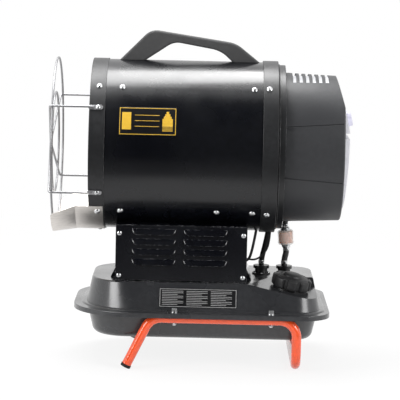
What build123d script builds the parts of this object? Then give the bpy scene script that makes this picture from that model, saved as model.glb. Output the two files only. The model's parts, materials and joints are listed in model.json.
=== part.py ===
from build123d import *
import os
from math import atan2, cos, radians, sin, sqrt, tan

# Radiant kerosene heater in millimetres. The drum lies along X with its heat outlet
# towards -X, the filler cap is on the -Y side, and the floor is Z = 0.

os.makedirs("parts", exist_ok=True)

# Fits
touch_gap = 0.1
loose_gap = 0.3
shaft_clearance = 0.05

# Drum and its bands
axis_z = 360.0
drum_radius = 142.5
drum_sheet = 1.5
drum_front_x = -178.0
drum_rear_x = 127.4
band_sheet = 1.3
band_front_x = -182.3
front_band_length = 26.1
front_lip_depth = 11.0
rear_band_x = 102.7
rear_band_length = 25.7
rear_band_sheet = 2.4
screw_angle = 46.0
front_screw_inset = 14.8
rear_screw_inset = 9.6
shell_screws_upper_x = (-129.6, 88.0)
shell_screws_lower_x = (-129.6, 29.5, 88.6)

# Pan head screws
casing_head_radius = 5.1
casing_head_height = 2.8
casing_shank_radius = 2.2
casing_shank_length = 6.0
cover_head_radius = 3.9
cover_head_height = 2.2
cover_shank_radius = 1.6
cover_shank_length = 5.0

# Frame tube
tube_radius = 8.0
tube_wall = 1.5
tube_run_z = 85.5
track_inset = 17.0
tube_bend = 28.0
leg_top_x = -75.0
leg_angle = 64.0
rear_leg_x = 166.4
foot_cap_wall = 0.6
foot_cap_depth = 5.0
foot_cap_end = 2.0
foot_flat = 0.8
bolt_x = (-35.9, 123.7)
bolt_radius = 2.6
bolt_head_radius = 4.2
bolt_head_height = 5.0
washer_radius = 5.2
washer_thickness = 1.2
nut_radius = 4.0
nut_height = 1.8
nut_dome_height = 1.8

# Tank
tank_x = 7.5
tank_length = 428.0
tank_width = 306.0
tank_sheet = 1.2
rim_front_corner = 105.0
rim_rear_corner = 55.0
drain_x = -105.0
drain_radius = 8.0
drain_head = 3.0
rim_drop = 6.8
rim_front_width = 20.5
rim_rear_width = 15.0
rim_side_width = 27.0
upper_front_corner = 85.0
upper_rear_corner = 42.0
upper_end_rake = 9.5
upper_side_rake = 21.0
tank_top_z = 140.0
tank_top_round = 3.5
lower_front_inset = 23.3
lower_rear_inset = 18.3
lower_side_inset = 29.0
lower_front_corner = 66.0
lower_rear_corner = 50.0
lower_draft = 13.0
tank_bottom_z = 47.5
tank_bottom_round = 13.0

# Recessed filler corner and the cap
recess_back = 137.1
recess_in = 49.0
recess_turn = 26.2
recess_tilt = 13.0
recess_side_y = -15.0
recess_side_draft = 25.0
recess_reach = 260.0
filler_back = 65.5
filler_in = 87.0
neck_bore = 20.0
neck_wall = 2.0
neck_flange_radius = 29.0
neck_flange_thickness = 1.2
neck_rise = 13.0
neck_drop = 8.0
gasket_thickness = 1.8
cap_radius = 33.2
cap_lugs = 8
cap_lug_notch = 4.5
cap_skirt = 14.8
cap_dome = 9.0
cap_wall = 3.0
strainer_depth = 38.0
strainer_wall = 1.0
strainer_slots = 8

# Tank top fittings and the fuel filter
fitting_y = 15.0
outlet_x = 148.3
return_x = 109.3
fitting_radius = 13.6
fitting_foot_radius = 15.6
fitting_barrel = 10.7
fitting_height = 15.0
fitting_top_flange = 5.0
fitting_flange = 2.0
fitting_screw_circle = 13.1
fitting_screws_count = 6
spigot_radius = 3.4
spigot_rise = 10.0
hose_radius = 4.5
hose_bore = 3.5
supply_bend = 12.0
filter_bend = 12.0
return_bend = 24.0
filter_radius = 14.0
filter_length = 25.0
filter_wall = 1.6
filter_cap_height = 4.0
filter_bottom = (150.5, 12.0, 192.0)
filter_lean = 4.0
filter_nipple = 6.0
clamp_width = 6.0
clamp_sheet = 1.1
pickup_length = 78.0
fitting_head_radius = 2.0
fitting_head_height = 1.6

# Leads, return hose and fuel pump
return_top = (121.0, 6.0, 224.0)
cable_radius = 1.6
cable_bend = 14.0
lead_radius = 1.9
lead_bend = 9.0
lead_entry_z = 166.0
service_gap = 1.2
service_depth = 16.0
pump_x = 152.0
pump_y = 12.0
pump_radius = 14.0
pump_low_z = 256.0
pump_length = 40.0
pump_barb = 8.0
pump_outlet = 6.0
notch_offset = 3.0
line_radius = 1.6
line_bend = 10.0
line_high_z = 312.0
line_low_z = 228.5
line_drop_x = 104.0
line_rise_x = 52.0

# Base box and side covers
box_front_x = -136.0
box_rear_x = 81.8
box_step = 37.5
box_sheet = 1.2
box_lip = 13.0
box_foot = 9.0
cover_bottom_z = 143.0
cover_top_z = 235.5
cover_screw_inset = 6.1
cover_screw_z = (150.2, 220.8)
louver_rows = 4
louver_pitch = 16.8
louver_top_z = 219.4
louver_length = 72.5
louver_height = 9.0
louver_depth = 5.5
louver_skin = 1.0
louver_x = (-72.8, 12.7)

# Inside the base box
gland_x = 30.0
gland_z = 155.5
gland_thread = 8.0
gland_thread_length = 9.0
gland_nut = 11.0
gland_inner_nut = 4.0
gland_outer_nut = 5.0
gland_dome = 9.0
gland_bore = 4.0
board_z = 151.0
board_sheet = 1.6
board_length = 110.0
board_width = 140.0
board_x = -63.0
board_post_radius = 3.0
board_post_inset = 6.0
board_parts = [(-30, -40, 34, 30, 26), (14, -42, 19, 15, 15), (38, -42, 19, 15, 15),
               (-34, 20, 24, 44, 22), (10, 30, 30, 12, 9), (34, 34, 10, 22, 7)]
transformer_at = (34.0, 36.0)
transformer_length = 58.0
transformer_width = 52.0
transformer_height = 42.0
transformer_corner = 4.0
terminal_spread = 28.0
terminal_radius = 5.0
terminal_height = 10.0

# Carrying handle
handle_width = 27.0
handle_outline = [
    (-140.1, -2.5), (-86.9, 51.2), (56.8, 30.7), (99.3, -2.5),
    (53.6, -2.5), (31.2, 18.3), (-47.6, 31.7), (-98.0, -2.2),
]
handle_rounds = (27.0, 46.0, 50.0, 30.0)
handle_round = 3.5
handle_screw_x = (-116.0, 74.0)
handle_screw_radius = 2.5
handle_screw_reach = 13.0
handle_screw_head = 3.0

# Guard and deflector
guard_x = -242.6
guard_overhang = 0.6
guard_inner_share = 0.592
guard_wire = 1.8
guard_leg_rise = 1.1
guard_angle = 28.9
guard_hub_x = -253.6
guard_hub_bend = 120.0
guard_tab_length = 24.0
guard_tab_width = 8.0
guard_tab_thickness = 2.0
deflector_front_x = -245.3
deflector_rear_x = -158.5
deflector_bend = 22.0
deflector_half_angle = 49.0
deflector_front_half_angle = 42.4
deflector_flare = 6.3
deflector_sheet = 1.2
deflector_corner = 8.0

# Burner
chamber_radius = 104.0
chamber_sheet = 1.2
chamber_front_x = -162.0
chamber_rear_x = 5.0
cone_front_x = -178.0
emitter_x = -150.0
emitter_radius = 86.0
emitter_dish = 12.0
emitter_sheet = 1.5
burner_radius = 30.0
burner_front_x = -14.0
burner_rear_x = 44.0
burner_sheet = 1.5
swirl_x = -2.0
burner_flange = 8.0
burner_plate_x = 18.0
burner_plate = 2.0
air_holes = 12
air_hole_radius = 5.0
air_hole_circle = 66.0
chamber_arm_width = 24.0
emitter_rings = ((24.0, 8), (46.0, 14), (68.0, 20))
emitter_hole_radius = 4.5
emitter_arm_width = 14.0
swirl_bore = 13.0
swirl_slots = 8
nozzle_x = 6.0
nozzle_length = 30.0
nozzle_radius = 6.0
nozzle_hex = 8.0
igniter_spread = 12.0
igniter_rise = 14.0
igniter_collar = 4.2
ceramic_radius = 3.0
ceramic_length = 34.0
electrode_radius = 0.9
electrode_tip = (-8.0, 2.0, 6.0)
sensor_drop = -17.0
sensor_radius = 4.0
sensor_length = 26.0
sensor_plate_length = 13.6
sensor_plate_width = 6.4

# Fan drive
shaft_radius = 4.0
motor_front_x = 98.0
motor_rear_x = 166.0
motor_radius = 36.0
bracket_sheet = 2.0
bracket_ring = 44.0
bracket_reach = 121.0
bracket_arm_width = 16.0
motor_slot_circle = 22.0
motor_slot_length = 13.0
shaft_front_x = 60.0
shaft_rear_x = 172.0
motor_cap_step = 3.0
motor_slots = 12
fan_front_x = 64.0
fan_hub_length = 26.0
fan_hub_radius = 22.0
fan_radius = 121.0
fan_blades = 5
fan_pitch = 24.0
fan_blade_sheet = 2.0
fan_root_chord = 30.0
fan_tip_chord = 58.0

# Inlet ring and rear cover
ring_x = 129.3
ring_length = 11.0
ring_radius = 138.4
ring_sheet = 1.6
ring_opening = 112.0
ring_front_radius = 139.7
spigot_front_x = 118.0
spigot_outer = 131.0
cover_radius = 126.0
cover_rear_radius = 122.0
cover_rear_x = 238.5
cover_wall = 2.5
cover_edge_round = 3.0
slope_top_x = 226.0
slope_top_z = 482.6
slope_low_x = 238.0
slope_low_z = 437.0
vent_first_x = 155.2
vent_pitch = 10.9
vent_count = 6
vent_width = 5.8
vent_half_length = 55.0
vent_low_z = 473.0
groove_width = 1.4
groove_depth = 0.9
grooves = ((43.5, 3.9), (-40.2, -4.35))
intake_radius = 84.0
grille_top_z = 384.0
grille_radius = 103.0
grille_slats = 10
grille_slot = 5.5
grille_low_z = 257.0
grille_depth = 8.5
grille_low_depth = 3.0
grille_wall = 2.2

# Control panel
panel_width = 132.0
panel_top_z = 435.0
panel_low_z = 391.0
panel_depth = 10.5
panel_wall = 2.4
knob_y = -38.0
knob_radius = 13.8
knob_length = 8.0
knob_stem = 3.0
knob_mark_width = 1.6
knob_mark_depth = 0.8
window_y = 14.0
window_width = 44.0
window_height = 20.0
window_thickness = 1.5
switch_y = 50.0
switch_width = 14.0
switch_height = 22.0
switch_throw = 8.0
switch_axle_depth = 4.2
switch_axle_radius = 1.5
switch_cheek = 2.0

drum_axis = Axis((0, 0, axis_z), (1, 0, 0))
side_plane = Plane(origin=(0, 0, axis_z), x_dir=(1, 0, 0), z_dir=(0, -1, 0))
seam_z = tube_run_z + tube_radius
drum_bore = drum_radius - drum_sheet
drum_top_z = axis_z + drum_radius
track_half = tank_width / 2 - track_inset
box_half_width = drum_radius - box_step
tank_front_x = tank_x - tank_length / 2
tank_rear_x = tank_x + tank_length / 2
recess_start_x = tank_rear_x - recess_back
recess_start_y = recess_in - tank_width / 2
filler_x = tank_rear_x - filler_back
filler_y = filler_in - tank_width / 2
bracket_x = ring_x + ring_length + 2 * touch_gap


def cross_plane(x, z=axis_z):
    """Plane square to the drum axis, its normal along +X."""
    return Plane(origin=(x, 0, z), x_dir=(0, 1, 0), z_dir=(1, 0, 0))


def drum_seat(x, angle, radius):
    """Plane on the drum at an angle above the near side's horizontal, facing outwards."""
    out = Vector(0, -cos(radians(angle)), sin(radians(angle)))
    return Plane(origin=Vector(x, 0, axis_z) + out * radius, x_dir=(1, 0, 0), z_dir=out)


def both_sides(angles):
    """The same angles on the near and on the far side."""
    return [side for angle in angles for side in (angle, 180 - angle)]


def save(builder, name):
    builder.part.label = name
    export_step(builder.part, "parts/" + name + ".step")


def ring_along_x(x_from, x_to, outer, inner=0.0):
    """Tube or disc about the drum axis."""
    with BuildPart() as ring:
        with BuildSketch(cross_plane(x_from)):
            Circle(outer)
            if inner > 0:
                Circle(inner, mode=Mode.SUBTRACT)
        extrude(amount=x_to - x_from)
    return ring.part


def pan_screw(head_radius, head_height, shank_radius, shank_length):
    """Pan head screw with a cross recess, seated at Z = 0."""
    with BuildPart() as screw:
        with BuildSketch(Plane.XZ):
            with BuildLine():
                Polyline((0, -shank_length), (shank_radius, -shank_length), (shank_radius, 0),
                         (head_radius, 0), (head_radius, head_height * 0.35))
                ThreePointArc((head_radius, head_height * 0.35),
                              (head_radius * 0.86, head_height * 0.82), (head_radius * 0.6, head_height))
                Polyline((head_radius * 0.6, head_height), (0, head_height), (0, -shank_length))
            make_face()
        revolve(axis=Axis.Z)
        with BuildSketch(Plane.XY.offset(head_height)):
            Rectangle(head_radius, head_radius * 0.24)
            Rectangle(head_radius * 0.24, head_radius)
        extrude(amount=-head_height * 0.6, mode=Mode.SUBTRACT)
    return screw.part


def swept_tube(points, radii, outer, inner=0.0):
    """Round tube or bar along straight runs joined by tangent arcs."""
    with BuildPart() as tube:
        with BuildLine() as path:
            FilletPolyline(*points, radius=radii)
        with BuildSketch(Plane(origin=path.line @ 0, z_dir=path.line % 0)):
            Circle(outer)
            if inner > 0:
                Circle(inner, mode=Mode.SUBTRACT)
        sweep(path=path.line)
    return tube.part


# Frame tube
leg_dir = Vector(cos(radians(leg_angle)), 0, sin(radians(leg_angle)))
cap_radius_foot = tube_radius + foot_cap_wall
cap_end_z = cap_radius_foot * cos(radians(leg_angle)) - foot_flat
leg_run = (tube_run_z - cap_end_z) / sin(radians(leg_angle))
foot_points = {}
for side in (-1, 1):
    leg_top = Vector(leg_top_x, side * track_half, tube_run_z)
    foot_points[side] = leg_top - leg_dir * leg_run
bolt_spots = [(x, side * track_half) for x in bolt_x for side in (-1, 1)]

frame_route = [
    foot_points[-1] + leg_dir * foot_cap_end,
    Vector(leg_top_x, -track_half, tube_run_z),
    Vector(rear_leg_x, -track_half, tube_run_z),
    Vector(rear_leg_x, -track_half, tube_radius),
    Vector(rear_leg_x, track_half, tube_radius),
    Vector(rear_leg_x, track_half, tube_run_z),
    Vector(leg_top_x, track_half, tube_run_z),
    foot_points[1] + leg_dir * foot_cap_end,
]
with BuildPart() as frame_tube:
    add(swept_tube(frame_route, tube_bend, tube_radius, tube_radius - tube_wall))
    with Locations(*[(x, y, tube_run_z) for x, y in bolt_spots]):
        Cylinder(bolt_radius + loose_gap, 3 * tube_radius, mode=Mode.SUBTRACT)
save(frame_tube, "frame_tube")

with BuildPart() as foot_caps:
    for foot in foot_points.values():
        with BuildSketch(Plane(origin=foot, z_dir=leg_dir)):
            Circle(cap_radius_foot)
        extrude(amount=foot_cap_depth)
        with BuildSketch(Plane(origin=foot + leg_dir * foot_cap_end, z_dir=leg_dir)):
            Circle(tube_radius)
        extrude(amount=foot_cap_depth, mode=Mode.SUBTRACT)
    split(bisect_by=Plane.XY, keep=Keep.TOP)
save(foot_caps, "foot_caps")

# Tank flange bolts run down through both rims and the frame tube.
rim_top_z = seam_z + 2 * tank_sheet
tube_bottom_z = tube_run_z - tube_radius
with BuildPart() as frame_bolts:
    for x, y in bolt_spots:
        with BuildSketch(Plane.XY.offset(rim_top_z)):
            with Locations((x, y)):
                Circle(washer_radius)
        extrude(amount=washer_thickness)
        with BuildSketch(Plane.XY.offset(rim_top_z + washer_thickness)):
            with Locations((x, y)):
                RegularPolygon(bolt_head_radius, 6)
        extrude(amount=bolt_head_height)
        with BuildSketch(Plane.XY.offset(rim_top_z)):
            with Locations((x, y)):
                Circle(bolt_radius)
        extrude(amount=tube_bottom_z - nut_height - rim_top_z)
save(frame_bolts, "frame_bolts")

with BuildPart() as frame_nuts:
    for x, y in bolt_spots:
        with BuildSketch(Plane.XY.offset(tube_bottom_z)):
            with Locations((x, y)):
                RegularPolygon(nut_radius, 6)
        extrude(amount=-nut_height)
        with BuildSketch(Plane.XY.offset(tube_bottom_z - nut_height)):
            with Locations((x, y)):
                Circle(nut_radius * 0.82)
        extrude(amount=-nut_dome_height, taper=20)
        with BuildSketch(Plane.XY.offset(tube_bottom_z)):
            with Locations((x, y)):
                Circle(bolt_radius + shaft_clearance)
        extrude(amount=-nut_height - touch_gap, mode=Mode.SUBTRACT)
save(frame_nuts, "frame_nuts")

# Recess plane for the filler: it falls towards the near rear corner.
turn, tilt = radians(recess_turn), radians(recess_tilt)
recess_fall = Vector(cos(turn) * cos(tilt), -sin(turn) * cos(tilt), -sin(tilt))
recess_normal = Vector(cos(turn) * sin(tilt), -sin(turn) * sin(tilt), cos(tilt))
recess_plane = Plane(origin=(recess_start_x, recess_start_y, tank_top_z), x_dir=recess_fall,
                     z_dir=recess_normal)
filler_run = (filler_x - recess_start_x) * cos(turn) - (filler_y - recess_start_y) * sin(turn)
filler_seat = Vector(filler_x, filler_y, tank_top_z - filler_run * tan(tilt))
filler_plane = Plane(origin=filler_seat, x_dir=recess_fall, z_dir=recess_normal)


def recess_block(inset):
    """Space above the filler recess, lowered and widened by a sheet thickness."""
    with BuildPart() as block:
        with BuildSketch(recess_plane.offset(-inset)):
            Rectangle(2 * recess_reach, 2 * recess_reach)
        extrude(amount=recess_reach / 4)
        side_dir = Vector(0, -cos(radians(recess_side_draft)), sin(radians(recess_side_draft)))
        side_spot = (0, recess_side_y + inset, tank_top_z)
        split(bisect_by=Plane(origin=side_spot, x_dir=(1, 0, 0), z_dir=side_dir), keep=Keep.TOP)
        split(bisect_by=Plane(origin=(recess_start_x - recess_reach / 4, 0, 0), z_dir=(1, 0, 0)),
              keep=Keep.TOP)
    return block.part


def tank_plan(z, front_x, rear_x, width, front_corner, rear_corner):
    """Plan of a pressed tank part at a height: its front corners are rounder than its rear ones."""
    with BuildSketch(Plane.XY.offset(z)) as plan:
        with Locations(((front_x + rear_x) / 2, 0)):
            Rectangle(rear_x - front_x, width)
        fillet(plan.vertices().group_by(Axis.X)[0], front_corner)
        fillet(plan.vertices().group_by(Axis.X)[-1], rear_corner)
    return plan.sketch


def rim_plan(z, inset):
    """Outline of the folded rim."""
    return tank_plan(z, tank_front_x + inset, tank_rear_x - inset, tank_width - 2 * inset,
                     rim_front_corner - inset, rim_rear_corner - inset)


def upper_form(inset):
    """Raised body of the tank's upper half, inset for its inner face."""
    front_x = tank_front_x + rim_front_width + inset
    rear_x = tank_rear_x - rim_rear_width - inset
    width = tank_width - 2 * rim_side_width - 2 * inset
    with BuildPart() as form:
        add(tank_plan(seam_z, front_x, rear_x, width, upper_front_corner - inset,
                      upper_rear_corner - inset))
        add(tank_plan(tank_top_z - inset, front_x + upper_end_rake, rear_x - upper_end_rake,
                      width - 2 * upper_side_rake, upper_front_corner - upper_side_rake - inset,
                      upper_rear_corner - upper_end_rake - inset))
        loft(ruled=True)
        fillet(form.faces().sort_by(Axis.Z)[-1].edges(), tank_top_round - inset)
        add(recess_block(inset), mode=Mode.SUBTRACT)
    return form.part


def lower_form(inset):
    """Body of the tank's lower half, inset for its inner face."""
    with BuildPart() as form:
        add(tank_plan(seam_z + tank_sheet, tank_front_x + lower_front_inset + inset,
                      tank_rear_x - lower_rear_inset - inset, tank_width - 2 * (lower_side_inset + inset),
                      lower_front_corner - inset, lower_rear_corner - inset))
        extrude(amount=tank_bottom_z + inset - seam_z - tank_sheet, taper=lower_draft)
        fillet(form.faces().sort_by(Axis.Z)[0].edges(), tank_bottom_round - inset)
    return form.part


with BuildPart() as tank_upper:
    add(rim_plan(rim_top_z, 0))
    extrude(amount=-rim_drop - tank_sheet)
    fillet(tank_upper.faces().sort_by(Axis.Z)[-1].edges(), 1.0)
    add(upper_form(0))
    add(rim_plan(rim_top_z - tank_sheet, tank_sheet))
    extrude(amount=-rim_drop, mode=Mode.SUBTRACT)
    add(upper_form(tank_sheet), mode=Mode.SUBTRACT)
    with Locations(filler_plane):
        Cylinder(neck_bore + neck_wall + touch_gap, 4 * neck_drop, mode=Mode.SUBTRACT)
    with Locations(*[(x, fitting_y, tank_top_z) for x in (outlet_x, return_x)]):
        Cylinder(spigot_radius + touch_gap, 4 * tank_sheet, mode=Mode.SUBTRACT)
    with Locations(*[(x, y, rim_top_z) for x, y in bolt_spots]):
        Cylinder(bolt_radius + loose_gap, 4 * tank_sheet, mode=Mode.SUBTRACT)
save(tank_upper, "tank_upper")

with BuildPart() as tank_lower:
    add(rim_plan(seam_z, tank_sheet + loose_gap))
    extrude(amount=tank_sheet)
    add(lower_form(0))
    add(lower_form(tank_sheet), mode=Mode.SUBTRACT)
    with Locations((drain_x, 0, tank_bottom_z)):
        Cylinder(drain_radius / 2 + touch_gap, 4 * tank_sheet, mode=Mode.SUBTRACT)
    with Locations(*[(x, y, seam_z) for x, y in bolt_spots]):
        Cylinder(bolt_radius + loose_gap, 4 * tank_sheet, mode=Mode.SUBTRACT)
save(tank_lower, "tank_lower")

with BuildPart() as drain_plug:
    with BuildSketch(Plane.XY.offset(tank_bottom_z)):
        with Locations((drain_x, 0)):
            RegularPolygon(drain_radius, 6)
    extrude(amount=-drain_head)
    with BuildSketch(Plane.XY.offset(tank_bottom_z)):
        with Locations((drain_x, 0)):
            Circle(drain_radius / 2)
    extrude(amount=drain_head)
save(drain_plug, "drain_plug")

# Filler neck, strainer, gasket and quarter turn cap, all square to the recess.
with BuildPart() as filler_neck:
    with BuildSketch(filler_plane):
        Circle(neck_flange_radius)
    extrude(amount=neck_flange_thickness)
    with BuildSketch(filler_plane.offset(-neck_drop)):
        Circle(neck_bore + neck_wall)
    extrude(amount=neck_drop + neck_rise)
    with BuildSketch(filler_plane.offset(-neck_drop)):
        Circle(neck_bore)
    extrude(amount=neck_drop + neck_rise, mode=Mode.SUBTRACT)
save(filler_neck, "filler_neck")

strainer_radius = neck_bore - loose_gap
basket_radius = strainer_radius - 2.5
with BuildPart() as filler_strainer:
    with BuildSketch(filler_plane.offset(neck_rise - 2 * strainer_wall)):
        Circle(strainer_radius)
    extrude(amount=strainer_wall)
    with BuildSketch(filler_plane.offset(neck_rise - strainer_depth)):
        Circle(basket_radius)
    extrude(amount=strainer_depth - 2 * strainer_wall)
    with BuildSketch(filler_plane.offset(neck_rise - strainer_depth + strainer_wall)):
        Circle(basket_radius - strainer_wall)
    extrude(amount=strainer_depth, mode=Mode.SUBTRACT)
    with BuildSketch(filler_plane.offset(neck_rise - strainer_depth + 4 * strainer_wall)):
        with PolarLocations(basket_radius, strainer_slots):
            Rectangle(2 * basket_radius * sin(radians(90 / strainer_slots)), 4 * strainer_wall)
    extrude(amount=strainer_depth / 2, mode=Mode.SUBTRACT)
save(filler_strainer, "filler_strainer")

gasket_bore = neck_bore + neck_wall + touch_gap
with BuildPart() as cap_gasket:
    with BuildSketch(filler_plane.offset(neck_flange_thickness)):
        Circle(neck_flange_radius)
        Circle(gasket_bore, mode=Mode.SUBTRACT)
    extrude(amount=gasket_thickness)
    outer_edges = cap_gasket.edges().filter_by(GeomType.CIRCLE).sort_by(SortBy.RADIUS)[-2:]
    fillet(outer_edges, gasket_thickness / 3)
save(cap_gasket, "cap_gasket")

cap_seat = neck_flange_thickness + gasket_thickness + loose_gap
cap_plane = filler_plane.offset(cap_seat)
with BuildPart() as fuel_cap:
    with BuildSketch(cap_plane):
        Circle(cap_radius)
        with PolarLocations(cap_radius + cap_lug_notch / 3, cap_lugs, start_angle=10):
            Circle(cap_lug_notch, mode=Mode.SUBTRACT)
    extrude(amount=cap_skirt)
    fillet(fuel_cap.faces().sort_by(Axis(filler_seat, recess_normal))[-1].edges(), 1.5)
    with BuildSketch(cap_plane.offset(cap_skirt)):
        Circle(cap_radius - cap_lug_notch * 1.2)
    extrude(amount=cap_dome, taper=52)
    with BuildSketch(cap_plane):
        Circle(gasket_bore + loose_gap)
    extrude(amount=neck_rise - cap_seat + cap_wall, mode=Mode.SUBTRACT)
save(fuel_cap, "fuel_cap")


# Tank top fittings with their screws
def fitting(x):
    """Flanged spool with a hose spigot, standing on the tank top over its hole."""
    top = fitting_height
    with BuildPart() as body:
        with BuildSketch(Plane(origin=(x, fitting_y, tank_top_z), x_dir=(1, 0, 0), z_dir=(0, -1, 0))):
            with BuildLine():
                Polyline((0, 0), (fitting_foot_radius, 0), (fitting_foot_radius, fitting_flange),
                         (fitting_barrel, fitting_flange), (fitting_barrel, top - fitting_top_flange),
                         (fitting_radius, top - fitting_top_flange), (fitting_radius, top),
                         (spigot_radius, top), (spigot_radius, top + spigot_rise),
                         (0, top + spigot_rise), (0, 0))
            make_face()
        revolve(axis=Axis((x, fitting_y, 0), (0, 0, 1)))
        with Locations((x, fitting_y, tank_top_z)):
            with PolarLocations(fitting_screw_circle, fitting_screws_count, start_angle=30):
                Cylinder(cover_shank_radius, 2 * fitting_flange, mode=Mode.SUBTRACT)
    return body.part


with BuildPart() as outlet_fitting:
    add(fitting(outlet_x))
save(outlet_fitting, "outlet_fitting")

with BuildPart() as return_fitting:
    add(fitting(return_x))
save(return_fitting, "return_fitting")

with BuildPart() as fitting_screws:
    for x in (outlet_x, return_x):
        with Locations((x, fitting_y, tank_top_z + fitting_flange)):
            with PolarLocations(fitting_screw_circle, fitting_screws_count, start_angle=30):
                Cylinder(fitting_head_radius, fitting_head_height,
                         align=(Align.CENTER, Align.CENTER, Align.MIN))
                Cylinder(cover_shank_radius - shaft_clearance, fitting_flange,
                         align=(Align.CENTER, Align.CENTER, Align.MAX))
save(fitting_screws, "fitting_screws")

# Pickup tube hangs from the tank top under the outlet fitting.
pickup_top = tank_top_z - tank_sheet - touch_gap
with BuildPart() as pickup_tube:
    with BuildSketch(Plane.XY.offset(pickup_top)):
        with Locations((outlet_x, fitting_y)):
            Circle(spigot_radius + 2)
            Circle(spigot_radius - 1, mode=Mode.SUBTRACT)
    extrude(amount=-3)
    with BuildSketch(Plane.XY.offset(pickup_top - 3)):
        with Locations((outlet_x, fitting_y)):
            Circle(spigot_radius)
            Circle(spigot_radius - 1, mode=Mode.SUBTRACT)
    extrude(amount=3 - pickup_length)
save(pickup_tube, "pickup_tube")

# Fuel filter: a clear bowl with a pleated element, leaning a little to the front
lean = radians(filter_lean)
filter_up = Vector(-sin(lean), 0, cos(lean))
filter_plane = Plane(origin=filter_bottom, x_dir=(cos(lean), 0, sin(lean)), z_dir=filter_up)
filter_top = filter_plane.offset(filter_length)
with BuildPart() as filter_bowl:
    with BuildSketch(filter_plane):
        Circle(filter_radius * 0.92)
    extrude(amount=filter_length, taper=-2.4)
    with BuildSketch(filter_plane.offset(filter_wall)):
        Circle(filter_radius * 0.92 - filter_wall)
    extrude(amount=filter_length - 2 * filter_wall, taper=-2.4, mode=Mode.SUBTRACT)
    fillet(filter_bowl.edges().filter_by(GeomType.CIRCLE).sort_by(SortBy.RADIUS)[-1:], 1.0)
    for plane, way in ((filter_plane, -1), (filter_top, 1)):
        with BuildSketch(plane):
            Circle(spigot_radius * 2)
        extrude(amount=way * filter_cap_height, taper=8)
        with BuildSketch(plane):
            Circle(spigot_radius)
        extrude(amount=way * (filter_cap_height + filter_nipple))
save(filter_bowl, "filter_bowl")

element_gap = 1.0
with BuildPart() as filter_element:
    with BuildSketch(filter_plane.offset(filter_wall + element_gap)):
        RegularPolygon(filter_radius * 0.92 - filter_wall - element_gap, 14)
        Circle(filter_radius * 0.35, mode=Mode.SUBTRACT)
    extrude(amount=filter_length - 2 * (filter_wall + element_gap))
save(filter_element, "filter_element")

# Hoses slip over the spigots; the leads run from the drum's underside to the base box.
spigot_seat = tank_top_z + fitting_height
supply_top = Vector(filter_bottom) - filter_up * filter_cap_height
upper_start = Vector(filter_top.origin) + filter_up * filter_cap_height
supply_route = [
    Vector(outlet_x, fitting_y, spigot_seat),
    Vector(outlet_x, fitting_y, spigot_seat + spigot_rise + 2),
    supply_top - filter_up * (filter_nipple + 4),
    supply_top,
]
with BuildPart() as supply_hose:
    add(swept_tube(supply_route, supply_bend, hose_radius, hose_bore))
save(supply_hose, "supply_hose")

upper_end = Vector(pump_x, pump_y, pump_low_z - 2)
upper_route = [
    upper_start,
    upper_start + filter_up * (filter_nipple + 2),
    Vector(pump_x, pump_y, pump_low_z - 9),
    upper_end,
]
with BuildPart() as filter_hose:
    add(swept_tube(upper_route, filter_bend, hose_radius, hose_bore))
save(filter_hose, "filter_hose")

return_route = [
    Vector(return_x, fitting_y, spigot_seat),
    Vector(return_x, fitting_y, spigot_seat + spigot_rise + 2),
    Vector(return_x + 6, fitting_y - 4, spigot_seat + spigot_rise + 26),
    Vector(return_top),
]
with BuildPart() as return_hose:
    add(swept_tube(return_route, return_bend, hose_radius, hose_bore))
save(return_hose, "return_hose")

cable_route = [
    Vector(122.5, -10, 222),
    Vector(122.0, -12, 206),
    Vector(117.5, -14, 184),
    Vector(101.0, -12, 167),
    Vector(82.0, -8, lead_entry_z + 2),
    Vector(72.0, -6, lead_entry_z + 3),
]
with BuildPart() as wiring_cable:
    add(swept_tube(cable_route, cable_bend, cable_radius))
save(wiring_cable, "wiring_cable")

lead_route = [
    Vector(99.0, -22, 226),
    Vector(97.0, -22, 212),
    Vector(91.0, -20, 180),
    Vector(86.0, -19, lead_entry_z + 1),
    Vector(74.0, -19, lead_entry_z - 3),
]
with BuildPart() as sensor_lead:
    add(swept_tube(lead_route, lead_bend, lead_radius))
save(sensor_lead, "sensor_lead")

for tube, bend in (("supply hose", supply_bend), ("filter hose", filter_bend), ("return hose", return_bend),
                   ("wiring cable", cable_bend), ("sensor lead", lead_bend)):
    print(tube, "bend radius", bend)

clamp_places = [
    (Vector(outlet_x, fitting_y, spigot_seat + 3), Vector(0, 0, 1)),
    (Vector(return_x, fitting_y, spigot_seat + 3), Vector(0, 0, 1)),
    (supply_top - filter_up * (clamp_width + 0.5), filter_up),
    (upper_start + filter_up * 0.5, filter_up),
]
with BuildPart() as hose_clamps:
    for seat, way in clamp_places:
        with BuildSketch(Plane(origin=seat, z_dir=way)):
            Circle(hose_radius + clamp_sheet)
            with Locations((0, -hose_radius - 2 * clamp_sheet)):
                Rectangle(2 * clamp_sheet, 5 * clamp_sheet)
            Circle(hose_radius + shaft_clearance, mode=Mode.SUBTRACT)
        extrude(amount=clamp_width)
save(hose_clamps, "hose_clamps")

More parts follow.
